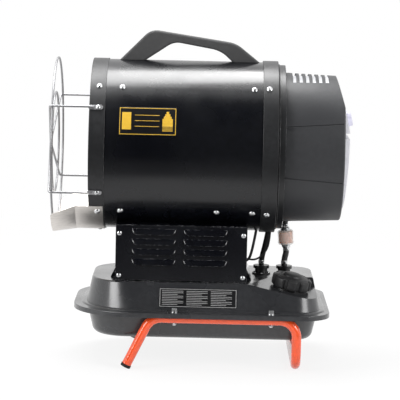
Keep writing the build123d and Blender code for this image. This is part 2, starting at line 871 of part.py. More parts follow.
# Base box: floor plate, two end plates shaped to the drum, and lips for the side covers
box_inner_front = box_front_x + box_sheet
saddle_radius = drum_radius + touch_gap
box_mid_x = (box_front_x + box_rear_x) / 2
box_length = box_rear_x - box_front_x
cover_inner_y = box_half_width - box_sheet - touch_gap
shelf_inner_y = sqrt(saddle_radius ** 2 - (axis_z - cover_top_z) ** 2)
cover_screw_x = (box_front_x + cover_screw_inset, box_rear_x - cover_screw_inset)
cover_seats = [
    Plane(origin=(x, side * box_half_width, z), x_dir=(1, 0, 0), z_dir=(0, side, 0))
    for side in (-1, 1) for x in cover_screw_x for z in cover_screw_z
]
with BuildPart() as base_box:
    with BuildSketch(Plane.XY.offset(tank_top_z)):
        with Locations((box_mid_x, 0)):
            Rectangle(box_length, 2 * cover_inner_y)
    extrude(amount=box_sheet)
    for end_x, way in ((box_front_x, 1), (box_rear_x, -1)):
        with BuildSketch(cross_plane(end_x, tank_top_z)):
            Rectangle(2 * cover_inner_y, cover_top_z - tank_top_z, align=(Align.CENTER, Align.MIN))
        extrude(amount=way * box_sheet)
        for side in (-1, 1):
            with BuildSketch(Plane.XY.offset(tank_top_z)):
                with Locations((end_x, side * cover_inner_y)):
                    across = Align.MIN if way > 0 else Align.MAX
                    along = Align.MIN if side < 0 else Align.MAX
                    Rectangle(box_lip, box_sheet, align=(across, along))
            extrude(amount=cover_top_z - 3 * box_sheet - tank_top_z)
        with BuildSketch(Plane(origin=(end_x, 0, tank_top_z), x_dir=(1, 0, 0), z_dir=(0, -1, 0))):
            Polygon((0, 0), (-way * box_foot, 0), (-way * box_foot, box_sheet),
                    (0, 2.2 * box_foot), align=None)
        extrude(amount=box_half_width * 0.55, both=True)
    with BuildSketch(cross_plane(box_front_x - box_foot)):
        Circle(saddle_radius)
    extrude(amount=box_length + 2 * box_foot, mode=Mode.SUBTRACT)
    with Locations(*cover_seats):
        Hole(cover_shank_radius + touch_gap, 8 * box_sheet)
    for point, radius in ((cable_route[-2], cable_radius), (lead_route[-2], lead_radius)):
        with BuildSketch(cross_plane(box_rear_x, point.Z)):
            with Locations((point.Y, 0)):
                Circle(2.5 * radius)
        extrude(amount=4 * box_sheet, both=True, mode=Mode.SUBTRACT)
save(base_box, "base_box")

# The power cord's gland sits low in the far side cover.
gland_plane = Plane(origin=(gland_x, box_half_width, gland_z), x_dir=(-1, 0, 0), z_dir=(0, 1, 0))


def side_cover(side):
    """Cover plate bent in towards the drum, with pressed hoods that open downwards."""
    face = Plane(origin=(0, side * box_half_width, 0), x_dir=(-side, 0, 0), z_dir=(0, side, 0))
    hood_plane = Plane(origin=(0, side * box_half_width, 0), x_dir=(0, side, 0), z_dir=(1, 0, 0))
    with BuildPart() as plate:
        with BuildSketch(face):
            with Locations((-side * box_mid_x, (cover_bottom_z + cover_top_z) / 2)):
                Rectangle(box_length, cover_top_z - cover_bottom_z)
        extrude(amount=-box_sheet)
        with BuildSketch(Plane.XY.offset(cover_top_z)):
            with Locations((box_mid_x, side * (box_half_width + shelf_inner_y) / 2)):
                Rectangle(box_length - 2 * (box_sheet + touch_gap), box_half_width - shelf_inner_y)
        extrude(amount=-box_sheet)
        for x in louver_x:
            for row in range(louver_rows):
                low = louver_top_z - row * louver_pitch
                up = 1 if side > 0 else -1
                start = hood_plane.offset(x - louver_length / 2)
                with BuildSketch(start):
                    with BuildLine():
                        hood_top = (0, up * (low + louver_height))
                        hood_lip = (louver_depth, up * low)
                        Polyline(hood_top, (-box_sheet, up * (low + louver_height)),
                                 (-box_sheet, up * low), hood_lip)
                        ThreePointArc(hood_top, (louver_depth * 0.72, up * (low + louver_height * 0.62)),
                                      hood_lip)
                    make_face()
                extrude(amount=louver_length)
                with BuildSketch(start.offset(louver_skin)):
                    with BuildLine():
                        slot_top = (0, up * (low + louver_height - 2 * louver_skin))
                        slot_lip = (louver_depth - louver_skin, up * (low - louver_skin))
                        Polyline(slot_top, (-2 * box_sheet, slot_top[1]),
                                 (-2 * box_sheet, up * (low - louver_skin)), slot_lip)
                        ThreePointArc(slot_top, (louver_depth * 0.58, up * (low + louver_height * 0.5)),
                                      slot_lip)
                    make_face()
                extrude(amount=louver_length - 2 * louver_skin, mode=Mode.SUBTRACT)
        seats = [seat for seat in cover_seats if seat.z_dir.Y * side > 0]
        with Locations(*seats):
            Hole(cover_shank_radius + touch_gap, 8 * box_sheet)
        if side > 0:
            with Locations(gland_plane):
                Hole(gland_thread + touch_gap, 2 * box_sheet)
    return plate.part


with BuildPart() as side_cover_near:
    add(side_cover(-1))
save(side_cover_near, "side_cover_near")

with BuildPart() as side_cover_far:
    add(side_cover(1))
save(side_cover_far, "side_cover_far")

cover_screw = pan_screw(cover_head_radius, cover_head_height, cover_shank_radius, cover_shank_length)
with BuildPart() as side_cover_screws:
    with Locations(*cover_seats):
        add(cover_screw)
save(side_cover_screws, "side_cover_screws")

with BuildPart() as cord_gland:
    with BuildSketch(gland_plane.offset(touch_gap)):
        Circle(gland_thread)
    extrude(amount=-gland_thread_length)
    with BuildSketch(gland_plane.offset(-box_sheet - touch_gap)):
        RegularPolygon(gland_nut, 6)
    extrude(amount=-gland_inner_nut)
    with BuildSketch(gland_plane.offset(touch_gap)):
        RegularPolygon(gland_nut, 6)
    extrude(amount=gland_outer_nut)
    with BuildSketch(gland_plane.offset(gland_outer_nut)):
        Circle(gland_nut * cos(radians(30)) - touch_gap)
    extrude(amount=gland_dome, taper=12)
    with BuildSketch(gland_plane.offset(-gland_thread_length)):
        Circle(gland_bore)
    extrude(amount=gland_thread_length + gland_outer_nut + gland_dome, mode=Mode.SUBTRACT)
save(cord_gland, "cord_gland")

with BuildPart() as control_board:
    with BuildSketch(Plane.XY.offset(board_z)):
        with Locations((board_x, 0)):
            Rectangle(board_length, board_width)
    extrude(amount=board_sheet)
    with BuildSketch(Plane.XY.offset(board_z)):
        with Locations((board_x, 0)):
            with GridLocations(board_length - 2 * board_post_inset,
                               board_width - 2 * board_post_inset, 2, 2):
                Circle(board_post_radius)
    extrude(amount=tank_top_z + box_sheet - board_z)
    for x, y, length, width, height in board_parts:
        with BuildSketch(Plane.XY.offset(board_z + board_sheet)):
            with Locations((board_x + x, y)):
                Rectangle(length, width)
        extrude(amount=height)
save(control_board, "control_board")

with BuildPart() as ignition_transformer:
    with BuildSketch(Plane.XY.offset(tank_top_z + box_sheet)):
        with Locations(transformer_at):
            RectangleRounded(transformer_length, transformer_width, transformer_corner)
    extrude(amount=transformer_height)
    fillet(ignition_transformer.faces().sort_by(Axis.Z)[-1].edges(), transformer_corner / 2)
    with BuildSketch(Plane.XY.offset(tank_top_z + box_sheet + transformer_height)):
        with Locations(transformer_at):
            with GridLocations(terminal_spread, 0, 2, 1):
                Circle(terminal_radius)
    extrude(amount=terminal_height)
save(ignition_transformer, "ignition_transformer")

# Drum shell and bands
band_bore = drum_radius + touch_gap
band_radius = band_bore + band_sheet
rear_band_radius = band_bore + rear_band_sheet
band_screw_x = band_front_x + front_screw_inset
rear_screw_x = rear_band_x + rear_screw_inset
deflector_radius = band_radius + touch_gap + deflector_sheet
upper_angles = both_sides([screw_angle])
lower_angles = both_sides([-screw_angle])


def seats_at(places, radius):
    return [drum_seat(x, angle, radius) for x, angle in places]


shell_places = [(x, a) for x in shell_screws_upper_x for a in upper_angles]
shell_places += [(x, a) for x in shell_screws_lower_x for a in lower_angles]
band_places = [(band_screw_x, a) for a in upper_angles]
deflector_places = [(band_screw_x, a) for a in lower_angles + [-90]]
rear_places = [(rear_screw_x, a) for a in upper_angles + lower_angles]
guard_places = [(band_screw_x, a) for a in both_sides([guard_angle, -guard_angle])]
all_places = shell_places + band_places + deflector_places + rear_places + guard_places
casing_hole = casing_shank_radius + touch_gap
drum_bottom_z = axis_z - drum_radius


def crossing(end, before):
    """Where a route's last run passes the bottom of the drum."""
    way = (end - before).normalized()
    return end - way * ((end.Z - drum_bottom_z) / way.Z)


service_holes = [
    (crossing(return_route[-1], return_route[-2]), hose_radius),
    (crossing(cable_route[0], cable_route[1]), cable_radius),
    (crossing(lead_route[0], lead_route[1]), lead_radius),
]

with BuildPart() as drum_shell:
    add(ring_along_x(drum_front_x, drum_rear_x, drum_radius, drum_bore))
    with Locations(*seats_at(all_places, drum_radius)):
        Hole(casing_hole, 3 * drum_sheet)
    for spot, radius in service_holes:
        with Locations(spot):
            Cylinder(radius + service_gap, service_depth, mode=Mode.SUBTRACT)
    with Locations(*[(x, 0, drum_top_z) for x in handle_screw_x]):
        Cylinder(handle_screw_radius + touch_gap, 4 * drum_sheet, mode=Mode.SUBTRACT)
save(drum_shell, "drum_shell")

with BuildPart() as front_band:
    add(ring_along_x(band_front_x, band_front_x + front_band_length, band_radius, band_bore))
    add(ring_along_x(band_front_x, band_front_x + band_sheet, band_bore,
                     band_radius - front_lip_depth))
    rolled = front_band.edges().filter_by(GeomType.CIRCLE)
    fillet([e for e in rolled if e.radius > band_bore + 0.01 and e.center().X < band_screw_x], 0.9)
    with Locations(*seats_at(band_places + deflector_places + guard_places, band_radius)):
        Hole(casing_hole, 3 * band_sheet)
save(front_band, "front_band")

with BuildPart() as rear_band:
    rear_end = rear_band_x + rear_band_length
    add(ring_along_x(rear_band_x, rear_end, rear_band_radius, band_bore))
    add(ring_along_x(drum_rear_x + touch_gap, rear_end, band_bore, band_bore - front_lip_depth))
    rolled = rear_band.edges().filter_by(GeomType.CIRCLE)
    fillet([e for e in rolled if e.radius > band_bore + 0.01], 0.8)
    with Locations(*seats_at(rear_places, rear_band_radius)):
        Hole(casing_hole, 3 * rear_band_sheet)
    for spot, radius in service_holes[:2]:
        with Locations(spot):
            Cylinder(radius + service_gap, service_depth, mode=Mode.SUBTRACT)
save(rear_band, "rear_band")

casing_screw = pan_screw(casing_head_radius, casing_head_height, casing_shank_radius,
                         casing_shank_length)
with BuildPart() as casing_screws:
    seats = seats_at(shell_places, drum_radius + touch_gap)
    seats += seats_at(band_places, band_radius + touch_gap)
    seats += seats_at(deflector_places, deflector_radius + touch_gap)
    seats += seats_at(rear_places, rear_band_radius + touch_gap)
    with Locations(*seats):
        add(casing_screw)
save(casing_screws, "casing_screws")

# Carrying handle: a moulded bridge whose feet follow the drum
handle_plane = Plane(origin=(0, handle_width / 2, drum_top_z), x_dir=(1, 0, 0), z_dir=(0, -1, 0))
with BuildPart() as handle:
    with BuildSketch(handle_plane) as handle_side:
        Polygon(*handle_outline, align=None)
        corners = [handle_outline[i] for i in (1, 2, 5, 6)]
        for corner, radius in zip(corners, handle_rounds):
            spot = handle_side.vertices().sort_by_distance((*corner, 0))[0]
            fillet(spot, radius)
    extrude(amount=handle_width)
    sides = handle.faces().filter_by(Axis.Y)
    fillet(sides.edges(), handle_round)
    add(ring_along_x(drum_front_x, drum_rear_x, drum_radius + touch_gap), mode=Mode.SUBTRACT)
    with Locations(*[(x, 0, drum_top_z) for x in handle_screw_x]):
        Cylinder(handle_screw_radius + shaft_clearance, 2 * handle_screw_reach, mode=Mode.SUBTRACT)
save(handle, "handle")

with BuildPart() as handle_screws:
    for x in handle_screw_x:
        with Locations((x, 0, axis_z + drum_bore - loose_gap)):
            Cylinder(2 * handle_screw_radius, handle_screw_head,
                     align=(Align.CENTER, Align.CENTER, Align.MAX))
            Cylinder(handle_screw_radius, handle_screw_reach,
                     align=(Align.CENTER, Align.CENTER, Align.MIN))
save(handle_screws, "handle_screws")

# Front guard: two wires that cross at the hub and end in flattened eyelets, and two rings behind them
guard_tab_seat = band_radius + touch_gap
guard_leg_radius = guard_tab_seat + guard_wire + guard_leg_rise
guard_radius = drum_radius + guard_overhang
guard_inner_radius = drum_radius * guard_inner_share
guard_leg_bend = 2 * guard_wire + loose_gap
spoke_front_x = guard_x - 2 * guard_wire - touch_gap
tab_mid_x = band_screw_x - guard_tab_length / 2 + guard_tab_width
wire_end_x = band_screw_x - casing_head_radius - guard_wire
spoke_rise = (spoke_front_x - guard_hub_x) * (1 - guard_inner_radius / guard_leg_radius)
inner_ring_x = guard_x - spoke_rise
with BuildPart() as guard_rings:
    for ring_at_x, radius in ((guard_x, guard_radius), (inner_ring_x, guard_inner_radius)):
        with Locations(cross_plane(ring_at_x)):
            Torus(radius, guard_wire)
save(guard_rings, "guard_rings")

with BuildPart() as front_guard:
    for angle in (guard_angle, -guard_angle):
        out = Vector(0, -cos(radians(angle)), sin(radians(angle))) * guard_leg_radius
        centre = Vector(0, 0, axis_z)
        wire_route = [
            centre + out + Vector(wire_end_x, 0, 0),
            centre + out + Vector(spoke_front_x, 0, 0),
            centre + Vector(guard_hub_x, 0, 0),
            centre - out + Vector(spoke_front_x, 0, 0),
            centre - out + Vector(wire_end_x, 0, 0),
        ]
        add(swept_tube(wire_route, [guard_leg_bend, guard_hub_bend, guard_leg_bend], guard_wire))
    for angle in both_sides([guard_angle, -guard_angle]):
        with BuildSketch(drum_seat(tab_mid_x, angle, guard_tab_seat)):
            SlotOverall(guard_tab_length, guard_tab_width)
            with Locations((band_screw_x - tab_mid_x, 0)):
                Circle(casing_hole, mode=Mode.SUBTRACT)
        extrude(amount=guard_tab_thickness)
save(front_guard, "front_guard")

guard_screw = pan_screw(cover_head_radius, cover_head_height, casing_shank_radius, casing_shank_length)
with BuildPart() as guard_screws:
    with Locations(*seats_at(guard_places, guard_tab_seat + guard_tab_thickness + touch_gap)):
        add(guard_screw)
save(guard_screws, "guard_screws")

# Deflector plate: a flared trough under the heat outlet
deflector_start = deflector_half_angle - 90
start_out = Vector(0, -cos(radians(deflector_start)), sin(radians(deflector_start)))
bend_x = band_front_x - deflector_bend
with BuildPart() as deflector_plate:
    plate_plane = Plane(origin=(0, 0, axis_z), x_dir=(1, 0, 0), z_dir=Vector(1, 0, 0).cross(start_out))
    with BuildSketch(plate_plane):
        outer = deflector_radius
        inner = outer - deflector_sheet
        with BuildLine():
            Line((deflector_rear_x, inner), (deflector_rear_x, outer))
            Line((deflector_rear_x, outer), (bend_x, outer))
            Line((bend_x, outer), (deflector_front_x, outer + deflector_flare))
            flared = inner + deflector_flare
            Line((deflector_front_x, outer + deflector_flare), (deflector_front_x, flared))
            Line((deflector_front_x, flared), (bend_x, inner))
            Line((bend_x, inner), (deflector_rear_x, inner))
        make_face()
    revolve(axis=drum_axis, revolution_arc=2 * deflector_half_angle)
    edge_angle = (deflector_half_angle + deflector_front_half_angle) / 2
    front_run = deflector_front_x - bend_x
    for side in (1, -1):
        swing = side * deflector_radius * sin(radians(deflector_half_angle - edge_angle))
        edge_seat = drum_seat(bend_x, side * edge_angle - 90, deflector_radius)
        with BuildSketch(edge_seat):
            Polygon((0, 3 * swing), (2 * front_run, 3 * swing), (2 * front_run, -4 * swing),
                    (0, -4 * swing), align=None)
            with BuildSketch(mode=Mode.SUBTRACT) as kept:
                Polygon((0, swing), (front_run, -swing), (front_run, -4 * swing), (0, -4 * swing),
                        align=None)
                front_corner = kept.vertices().sort_by_distance((front_run, -swing, 0))[0]
                fillet(front_corner, deflector_corner)
        extrude(amount=3 * deflector_flare, both=True, mode=Mode.SUBTRACT)
    with Locations(*seats_at(deflector_places, deflector_radius)):
        Hole(casing_hole, 3 * deflector_sheet)
save(deflector_plate, "deflector_plate")

# Burner: reflector cone, perforated emitter, chamber, burner head with its nozzle and igniter
cone_small = chamber_radius + loose_gap
cone_large = drum_bore - touch_gap - loose_gap
cone_rear_x = chamber_front_x + 2 * chamber_sheet
with BuildPart() as reflector_cone:
    with BuildSketch(side_plane):
        Polygon((cone_front_x, cone_large), (cone_rear_x, cone_small),
                (cone_rear_x, cone_small + chamber_sheet), (cone_front_x + chamber_sheet, cone_large),
                align=None)
    revolve(axis=drum_axis)
save(reflector_cone, "reflector_cone")

with BuildPart() as combustion_chamber:
    add(ring_along_x(chamber_front_x, chamber_rear_x, chamber_radius, chamber_radius - chamber_sheet))
    with BuildSketch(cross_plane(chamber_rear_x)):
        Circle(chamber_radius)
        with PolarLocations((chamber_radius + drum_bore) / 2 - touch_gap, 4, start_angle=45):
            Rectangle(drum_bore - chamber_radius + chamber_sheet, chamber_arm_width)
        Circle(drum_bore - touch_gap, mode=Mode.INTERSECT)
        Circle(burner_radius + 1, mode=Mode.SUBTRACT)
        with PolarLocations(air_hole_circle, air_holes):
            Circle(air_hole_radius, mode=Mode.SUBTRACT)
    extrude(amount=-chamber_sheet)
save(combustion_chamber, "combustion_chamber")

with BuildPart() as emitter_disc:
    with BuildSketch(side_plane):
        profile = [
            (emitter_x - emitter_dish * (1 - part ** 2), emitter_radius * part)
            for part in (0, 0.2, 0.45, 0.7, 1)
        ]
        back = [(x + emitter_sheet, radius) for x, radius in reversed(profile)]
        Polygon(*profile, *back, align=None)
    revolve(axis=drum_axis)
    with BuildSketch(cross_plane(emitter_x)):
        arm_reach = chamber_radius - chamber_sheet - touch_gap
        with PolarLocations((emitter_radius + arm_reach) / 2 - 1, 4, start_angle=45):
            Rectangle(arm_reach - emitter_radius + 2, emitter_arm_width)
        Circle(arm_reach, mode=Mode.INTERSECT)
    extrude(amount=emitter_sheet)
    with BuildSketch(cross_plane(emitter_x)):
        for ring_at, count in emitter_rings:
            with PolarLocations(ring_at, count):
                Circle(emitter_hole_radius)
    extrude(amount=2 * emitter_dish, both=True, mode=Mode.SUBTRACT)
save(emitter_disc, "emitter_disc")

burner_bore = burner_radius - burner_sheet
with BuildPart() as burner_head:
    add(ring_along_x(burner_front_x, burner_rear_x, burner_radius, burner_bore))
    add(ring_along_x(chamber_rear_x + touch_gap, chamber_rear_x + touch_gap + burner_sheet,
                     burner_radius + burner_flange, burner_bore))
    with BuildSketch(cross_plane(swirl_x)):
        Circle(burner_radius - burner_sheet / 2)
        Circle(swirl_bore, mode=Mode.SUBTRACT)
        with PolarLocations((swirl_bore + burner_bore) / 2, swirl_slots):
            SlotOverall((burner_bore - swirl_bore) * 0.7, 3, rotation=25, mode=Mode.SUBTRACT)
    extrude(amount=burner_sheet)
    with BuildSketch(cross_plane(burner_plate_x)):
        Circle(burner_radius - burner_sheet / 2)
        Circle(nozzle_radius + shaft_clearance, mode=Mode.SUBTRACT)
        with Locations((igniter_spread, igniter_rise), (-igniter_spread, igniter_rise)):
            Circle(ceramic_radius + shaft_clearance, mode=Mode.SUBTRACT)
        with Locations((0, sensor_drop)):
            Circle(sensor_radius - 1, mode=Mode.SUBTRACT)
        with PolarLocations(burner_bore * 0.7, 2, start_angle=-20, angular_range=180):
            Circle(air_hole_radius, mode=Mode.SUBTRACT)
        with PolarLocations(burner_bore * 0.7, 2, start_angle=-40, angular_range=-100):
            Circle(air_hole_radius * 0.8, mode=Mode.SUBTRACT)
    extrude(amount=burner_plate)
save(burner_head, "burner_head")

with BuildPart() as fuel_nozzle:
    nozzle_plane = cross_plane(nozzle_x)
    add(ring_along_x(nozzle_x, nozzle_x + nozzle_length, nozzle_radius))
    with BuildSketch(cross_plane(burner_plate_x + burner_plate + touch_gap)):
        RegularPolygon(nozzle_hex, 6)
    extrude(amount=nozzle_radius)
    with BuildSketch(nozzle_plane):
        Circle(nozzle_radius)
    extrude(amount=-nozzle_radius / 2, taper=35)
    with BuildSketch(cross_plane(nozzle_x + nozzle_length)):
        Circle(line_radius + shaft_clearance)
    extrude(amount=-nozzle_length / 3, mode=Mode.SUBTRACT)
save(fuel_nozzle, "fuel_nozzle")

with BuildPart() as igniter:
    for side in (-1, 1):
        with BuildSketch(cross_plane(burner_plate_x - nozzle_radius)):
            with Locations((side * igniter_spread, igniter_rise)):
                Circle(ceramic_radius)
        extrude(amount=ceramic_length)
        with BuildSketch(cross_plane(burner_plate_x + burner_plate + touch_gap)):
            with Locations((side * igniter_spread, igniter_rise)):
                Circle(igniter_collar)
        extrude(amount=2 * ceramic_radius)
        tip_x, tip_y, tip_z = electrode_tip
        tip = Vector(tip_x, side * tip_y, axis_z + tip_z)
        root = Vector(burner_plate_x - nozzle_radius + 2, side * igniter_spread, axis_z + igniter_rise)
        with BuildSketch(Plane(origin=root, z_dir=tip - root)):
            Circle(electrode_radius)
        extrude(amount=(tip - root).length)
save(igniter, "igniter")

with BuildPart() as flame_sensor:
    with BuildSketch(cross_plane(burner_plate_x + burner_plate + touch_gap)):
        with Locations((0, sensor_drop)):
            Circle(sensor_radius)
    extrude(amount=sensor_length)
    with BuildSketch(cross_plane(burner_plate_x + burner_plate + touch_gap)):
        with Locations((0, sensor_drop)):
            Rectangle(sensor_plate_length, sensor_plate_width)
    extrude(amount=burner_sheet)
save(flame_sensor, "flame_sensor")

# Fan drive
with BuildPart() as motor_body:
    add(ring_along_x(motor_front_x, motor_rear_x, motor_radius - motor_cap_step / 2))
    add(ring_along_x(motor_front_x + 4 * motor_cap_step, motor_rear_x - 4 * motor_cap_step, motor_radius))
    ends = motor_body.faces().sort_by(Axis.X)
    fillet([ends[0].edges()[0], ends[-1].edges()[0]], motor_cap_step)
    with BuildSketch(cross_plane(motor_front_x)):
        with PolarLocations(motor_slot_circle, motor_slots):
            SlotOverall(motor_slot_length, motor_cap_step)
    extrude(amount=2 * motor_cap_step, mode=Mode.SUBTRACT)
    add(ring_along_x(motor_front_x, motor_rear_x, shaft_radius + shaft_clearance), mode=Mode.SUBTRACT)
save(motor_body, "motor_body")

with BuildPart() as motor_shaft:
    add(ring_along_x(shaft_front_x, shaft_rear_x, shaft_radius))
    chamfer(motor_shaft.edges().filter_by(GeomType.CIRCLE), 0.6)
save(motor_shaft, "motor_shaft")

fan_mid_x = fan_front_x + fan_hub_length / 2
with BuildPart() as fan:
    for blade in range(fan_blades):
        turn = radians(90 + blade * 360 / fan_blades)
        out = Vector(0, cos(turn), sin(turn))
        across = Vector(1, 0, 0).cross(out)
        pitch = radians(fan_pitch)
        chord = across * cos(pitch) + Vector(1, 0, 0) * sin(pitch)
        middle = Vector(fan_mid_x, 0, axis_z)
        with BuildSketch(Plane(origin=middle + out * fan_hub_radius * 0.85, x_dir=chord, z_dir=out)):
            Rectangle(fan_root_chord, fan_blade_sheet)
        with BuildSketch(Plane(origin=middle + out * fan_radius * 1.05, x_dir=chord, z_dir=out)):
            Rectangle(fan_tip_chord, fan_blade_sheet)
        loft()
    add(ring_along_x(fan_front_x - fan_hub_length, fan_front_x + 2 * fan_hub_length, fan_radius),
        mode=Mode.INTERSECT)
    add(ring_along_x(fan_front_x, fan_front_x + fan_hub_length, fan_hub_radius))
    add(ring_along_x(fan_front_x, fan_front_x + fan_hub_length, shaft_radius + shaft_clearance / 2),
        mode=Mode.SUBTRACT)
save(fan, "fan")

with BuildPart() as motor_bracket:
    with BuildSketch(cross_plane(bracket_x)):
        Circle(bracket_ring)
        with PolarLocations((motor_radius + bracket_reach) / 2, 4, start_angle=45):
            SlotOverall(bracket_reach - motor_radius, bracket_arm_width)
        Circle(motor_radius + shaft_clearance, mode=Mode.SUBTRACT)
    extrude(amount=bracket_sheet)
save(motor_bracket, "motor_bracket")

with BuildPart() as inlet_ring:
    ring_end = ring_x + ring_length
    add(ring_along_x(ring_x, ring_end, ring_radius, ring_radius - ring_sheet))
    add(ring_along_x(ring_x, ring_x + ring_sheet, ring_front_radius, spigot_outer - ring_sheet))
    add(ring_along_x(spigot_front_x, ring_x, spigot_outer, spigot_outer - ring_sheet))
    add(ring_along_x(ring_end - ring_sheet, ring_end, ring_radius, ring_opening))
save(inlet_ring, "inlet_ring")

# Rear cover with top vents, side grooves and an intake opening
slope_dir = Vector(slope_low_x - slope_top_x, 0, slope_low_z - slope_top_z).normalized()
slope_out = Vector(0, 1, 0).cross(slope_dir) * -1
slope_plane = Plane(origin=(slope_low_x, 0, slope_low_z), x_dir=(0, 1, 0), z_dir=slope_out)


def cover_form(inset):
    """Solid form of the rear cover, inset for its inner face."""
    with BuildPart() as form:
        with BuildSketch(cross_plane(bracket_x)):
            Circle(cover_radius - inset)
        with BuildSketch(cross_plane(cover_rear_x - inset)):
            Circle(cover_rear_radius - inset)
        loft()
        split(bisect_by=slope_plane.offset(-inset), keep=Keep.BOTTOM)
    return form.part


with BuildPart() as groove_bars:
    for rise, angle in grooves:
        with Locations(Location((bracket_x, 0, axis_z + rise), (0, -angle, 0))):
            Box(cover_rear_x - bracket_x - cover_wall, 3 * cover_radius, groove_width,
                align=(Align.MIN, Align.CENTER, Align.CENTER))

with BuildPart() as groove_skin:
    add(cover_form(0))
    add(cover_form(groove_depth), mode=Mode.SUBTRACT)
    add(groove_bars.part, mode=Mode.INTERSECT)

notch_x = pump_x - notch_offset
with BuildPart() as rear_cover:
    add(cover_form(0))
    edge_faces = rear_cover.faces().sort_by(Axis.X)[-1:]
    fillet(edge_faces.edges(), cover_edge_round)
    add(cover_form(cover_wall), mode=Mode.SUBTRACT)
    add(groove_skin.part, mode=Mode.SUBTRACT)
    with BuildSketch(Plane.XY.offset(vent_low_z)):
        for number in range(vent_count):
            with Locations((vent_first_x + number * vent_pitch, 0)):
                Rectangle(vent_width, 2 * vent_half_length)
    extrude(amount=cover_radius, mode=Mode.SUBTRACT)
    with BuildSketch(cross_plane(cover_rear_x)):
        Circle(intake_radius)
        with Locations((0, grille_top_z - axis_z - grille_wall)):
            Rectangle(2 * intake_radius, intake_radius, align=(Align.CENTER, Align.MIN),
                      mode=Mode.SUBTRACT)
        with Locations((0, (panel_low_z + panel_top_z) / 2 - axis_z)):
            Rectangle(panel_width - 4 * panel_wall, panel_top_z - panel_low_z - 4 * panel_wall)
    extrude(amount=-2 * cover_wall, mode=Mode.SUBTRACT)
    with BuildSketch(Plane.XY.offset(axis_z - cover_radius)):
        with Locations((bracket_x, pump_y)):
            Rectangle(notch_x - bracket_x, 2 * (hose_radius + service_gap), align=(Align.MIN, Align.CENTER))
        with Locations((notch_x, pump_y)):
            Circle(hose_radius + service_gap)
    extrude(amount=4 * cover_wall, mode=Mode.SUBTRACT)
save(rear_cover, "rear_cover")


def grille_form(inset):
    """Bulging intake grille, inset for its inner face."""
    front_x = cover_rear_x + touch_gap
    low, high = grille_low_z + inset - axis_z, grille_top_z - inset - axis_z
    with BuildPart() as form:
        with BuildSketch(side_plane):
            with BuildLine():
                Polyline((front_x, low), (front_x, high), (front_x + grille_depth - inset, high))
                ThreePointArc((front_x + grille_depth - inset, high),
                              (front_x + (grille_depth + grille_low_depth) * 0.54 - inset,
                               (low + high) / 2),
                              (front_x + grille_low_depth - inset, low))
                Line((front_x + grille_low_depth - inset, low), (front_x, low))
            make_face()
        extrude(amount=grille_radius, both=True)
        add(ring_along_x(front_x, front_x + 2 * grille_depth, grille_radius - inset), mode=Mode.INTERSECT)
    return form.part


with BuildPart() as rear_guard:
    add(grille_form(0))
    add(grille_form(grille_wall), mode=Mode.SUBTRACT)
    slat_pitch = (grille_top_z - grille_low_z - 2 * grille_wall) / (grille_slats + 0.5)
    with BuildSketch(cross_plane(cover_rear_x + grille_wall)):
        for number in range(grille_slats):
            height = grille_low_z + grille_wall + (number + 0.75) * slat_pitch - axis_z
            half = sqrt(grille_radius ** 2 - height ** 2) - 3 * grille_wall
            for side in (-1, 1):
                with Locations((side * (half + grille_wall) / 2, height)):
                    SlotOverall(half - grille_wall, grille_slot)
    extrude(amount=2 * grille_depth, mode=Mode.SUBTRACT)
save(rear_guard, "rear_guard")

# Control panel: a wedge with a tilted face that carries the knob, the window and the switch
panel_front_x = cover_rear_x + touch_gap
panel_tilt = atan2(panel_depth - 1, panel_top_z - panel_low_z)
panel_up = Vector(-sin(panel_tilt), 0, cos(panel_tilt))
panel_out = Vector(cos(panel_tilt), 0, sin(panel_tilt))
panel_face_origin = Vector(panel_front_x + panel_depth, 0, panel_low_z)
panel_middle = panel_face_origin + panel_up * ((panel_top_z - panel_low_z) / 2 / cos(panel_tilt))
panel_plane = Plane(origin=panel_middle, x_dir=(0, 1, 0), z_dir=panel_out)


def panel_form(inset):
    """Solid wedge of the control panel, inset for its inner face."""
    with BuildPart() as form:
        with BuildSketch(cross_plane(panel_front_x, (panel_low_z + panel_top_z) / 2)):
            Rectangle(panel_width - 2 * inset, panel_top_z - panel_low_z - 2 * inset)
        extrude(amount=2 * panel_depth)
        split(bisect_by=panel_plane.offset(-inset), keep=Keep.BOTTOM)
    return form.part


axle = panel_plane.origin + Vector(0, switch_y, 0) - panel_out * switch_axle_depth
with BuildPart() as control_panel:
    add(panel_form(0))
    add(panel_form(panel_wall), mode=Mode.SUBTRACT)
    with BuildSketch(panel_plane):
        with Locations((knob_y, 0)):
            Circle(knob_stem + shaft_clearance)
        with Locations((window_y, 0)):
            Rectangle(window_width - 4 * window_thickness, window_height - 4 * window_thickness)
        with Locations((switch_y, 0)):
            Rectangle(switch_width + 2 * loose_gap, switch_height + 2 * loose_gap)
    extrude(amount=-2 * panel_wall, mode=Mode.SUBTRACT)
    with BuildSketch(panel_plane):
        with Locations((window_y, 0)):
            Rectangle(window_width + 2 * touch_gap, window_height + 2 * touch_gap)
    extrude(amount=-window_thickness, mode=Mode.SUBTRACT)
    for side in (-1, 1):
        cheek_y = side * (switch_width / 2 + loose_gap)
        with BuildSketch(Plane(origin=axle + Vector(0, cheek_y, 0), x_dir=panel_up, z_dir=(0, side, 0))):
            Rectangle(3 * switch_axle_radius * 2, 2 * switch_axle_depth)
            Circle(switch_axle_radius + shaft_clearance, mode=Mode.SUBTRACT)
        extrude(amount=switch_cheek)
save(control_panel, "control_panel")

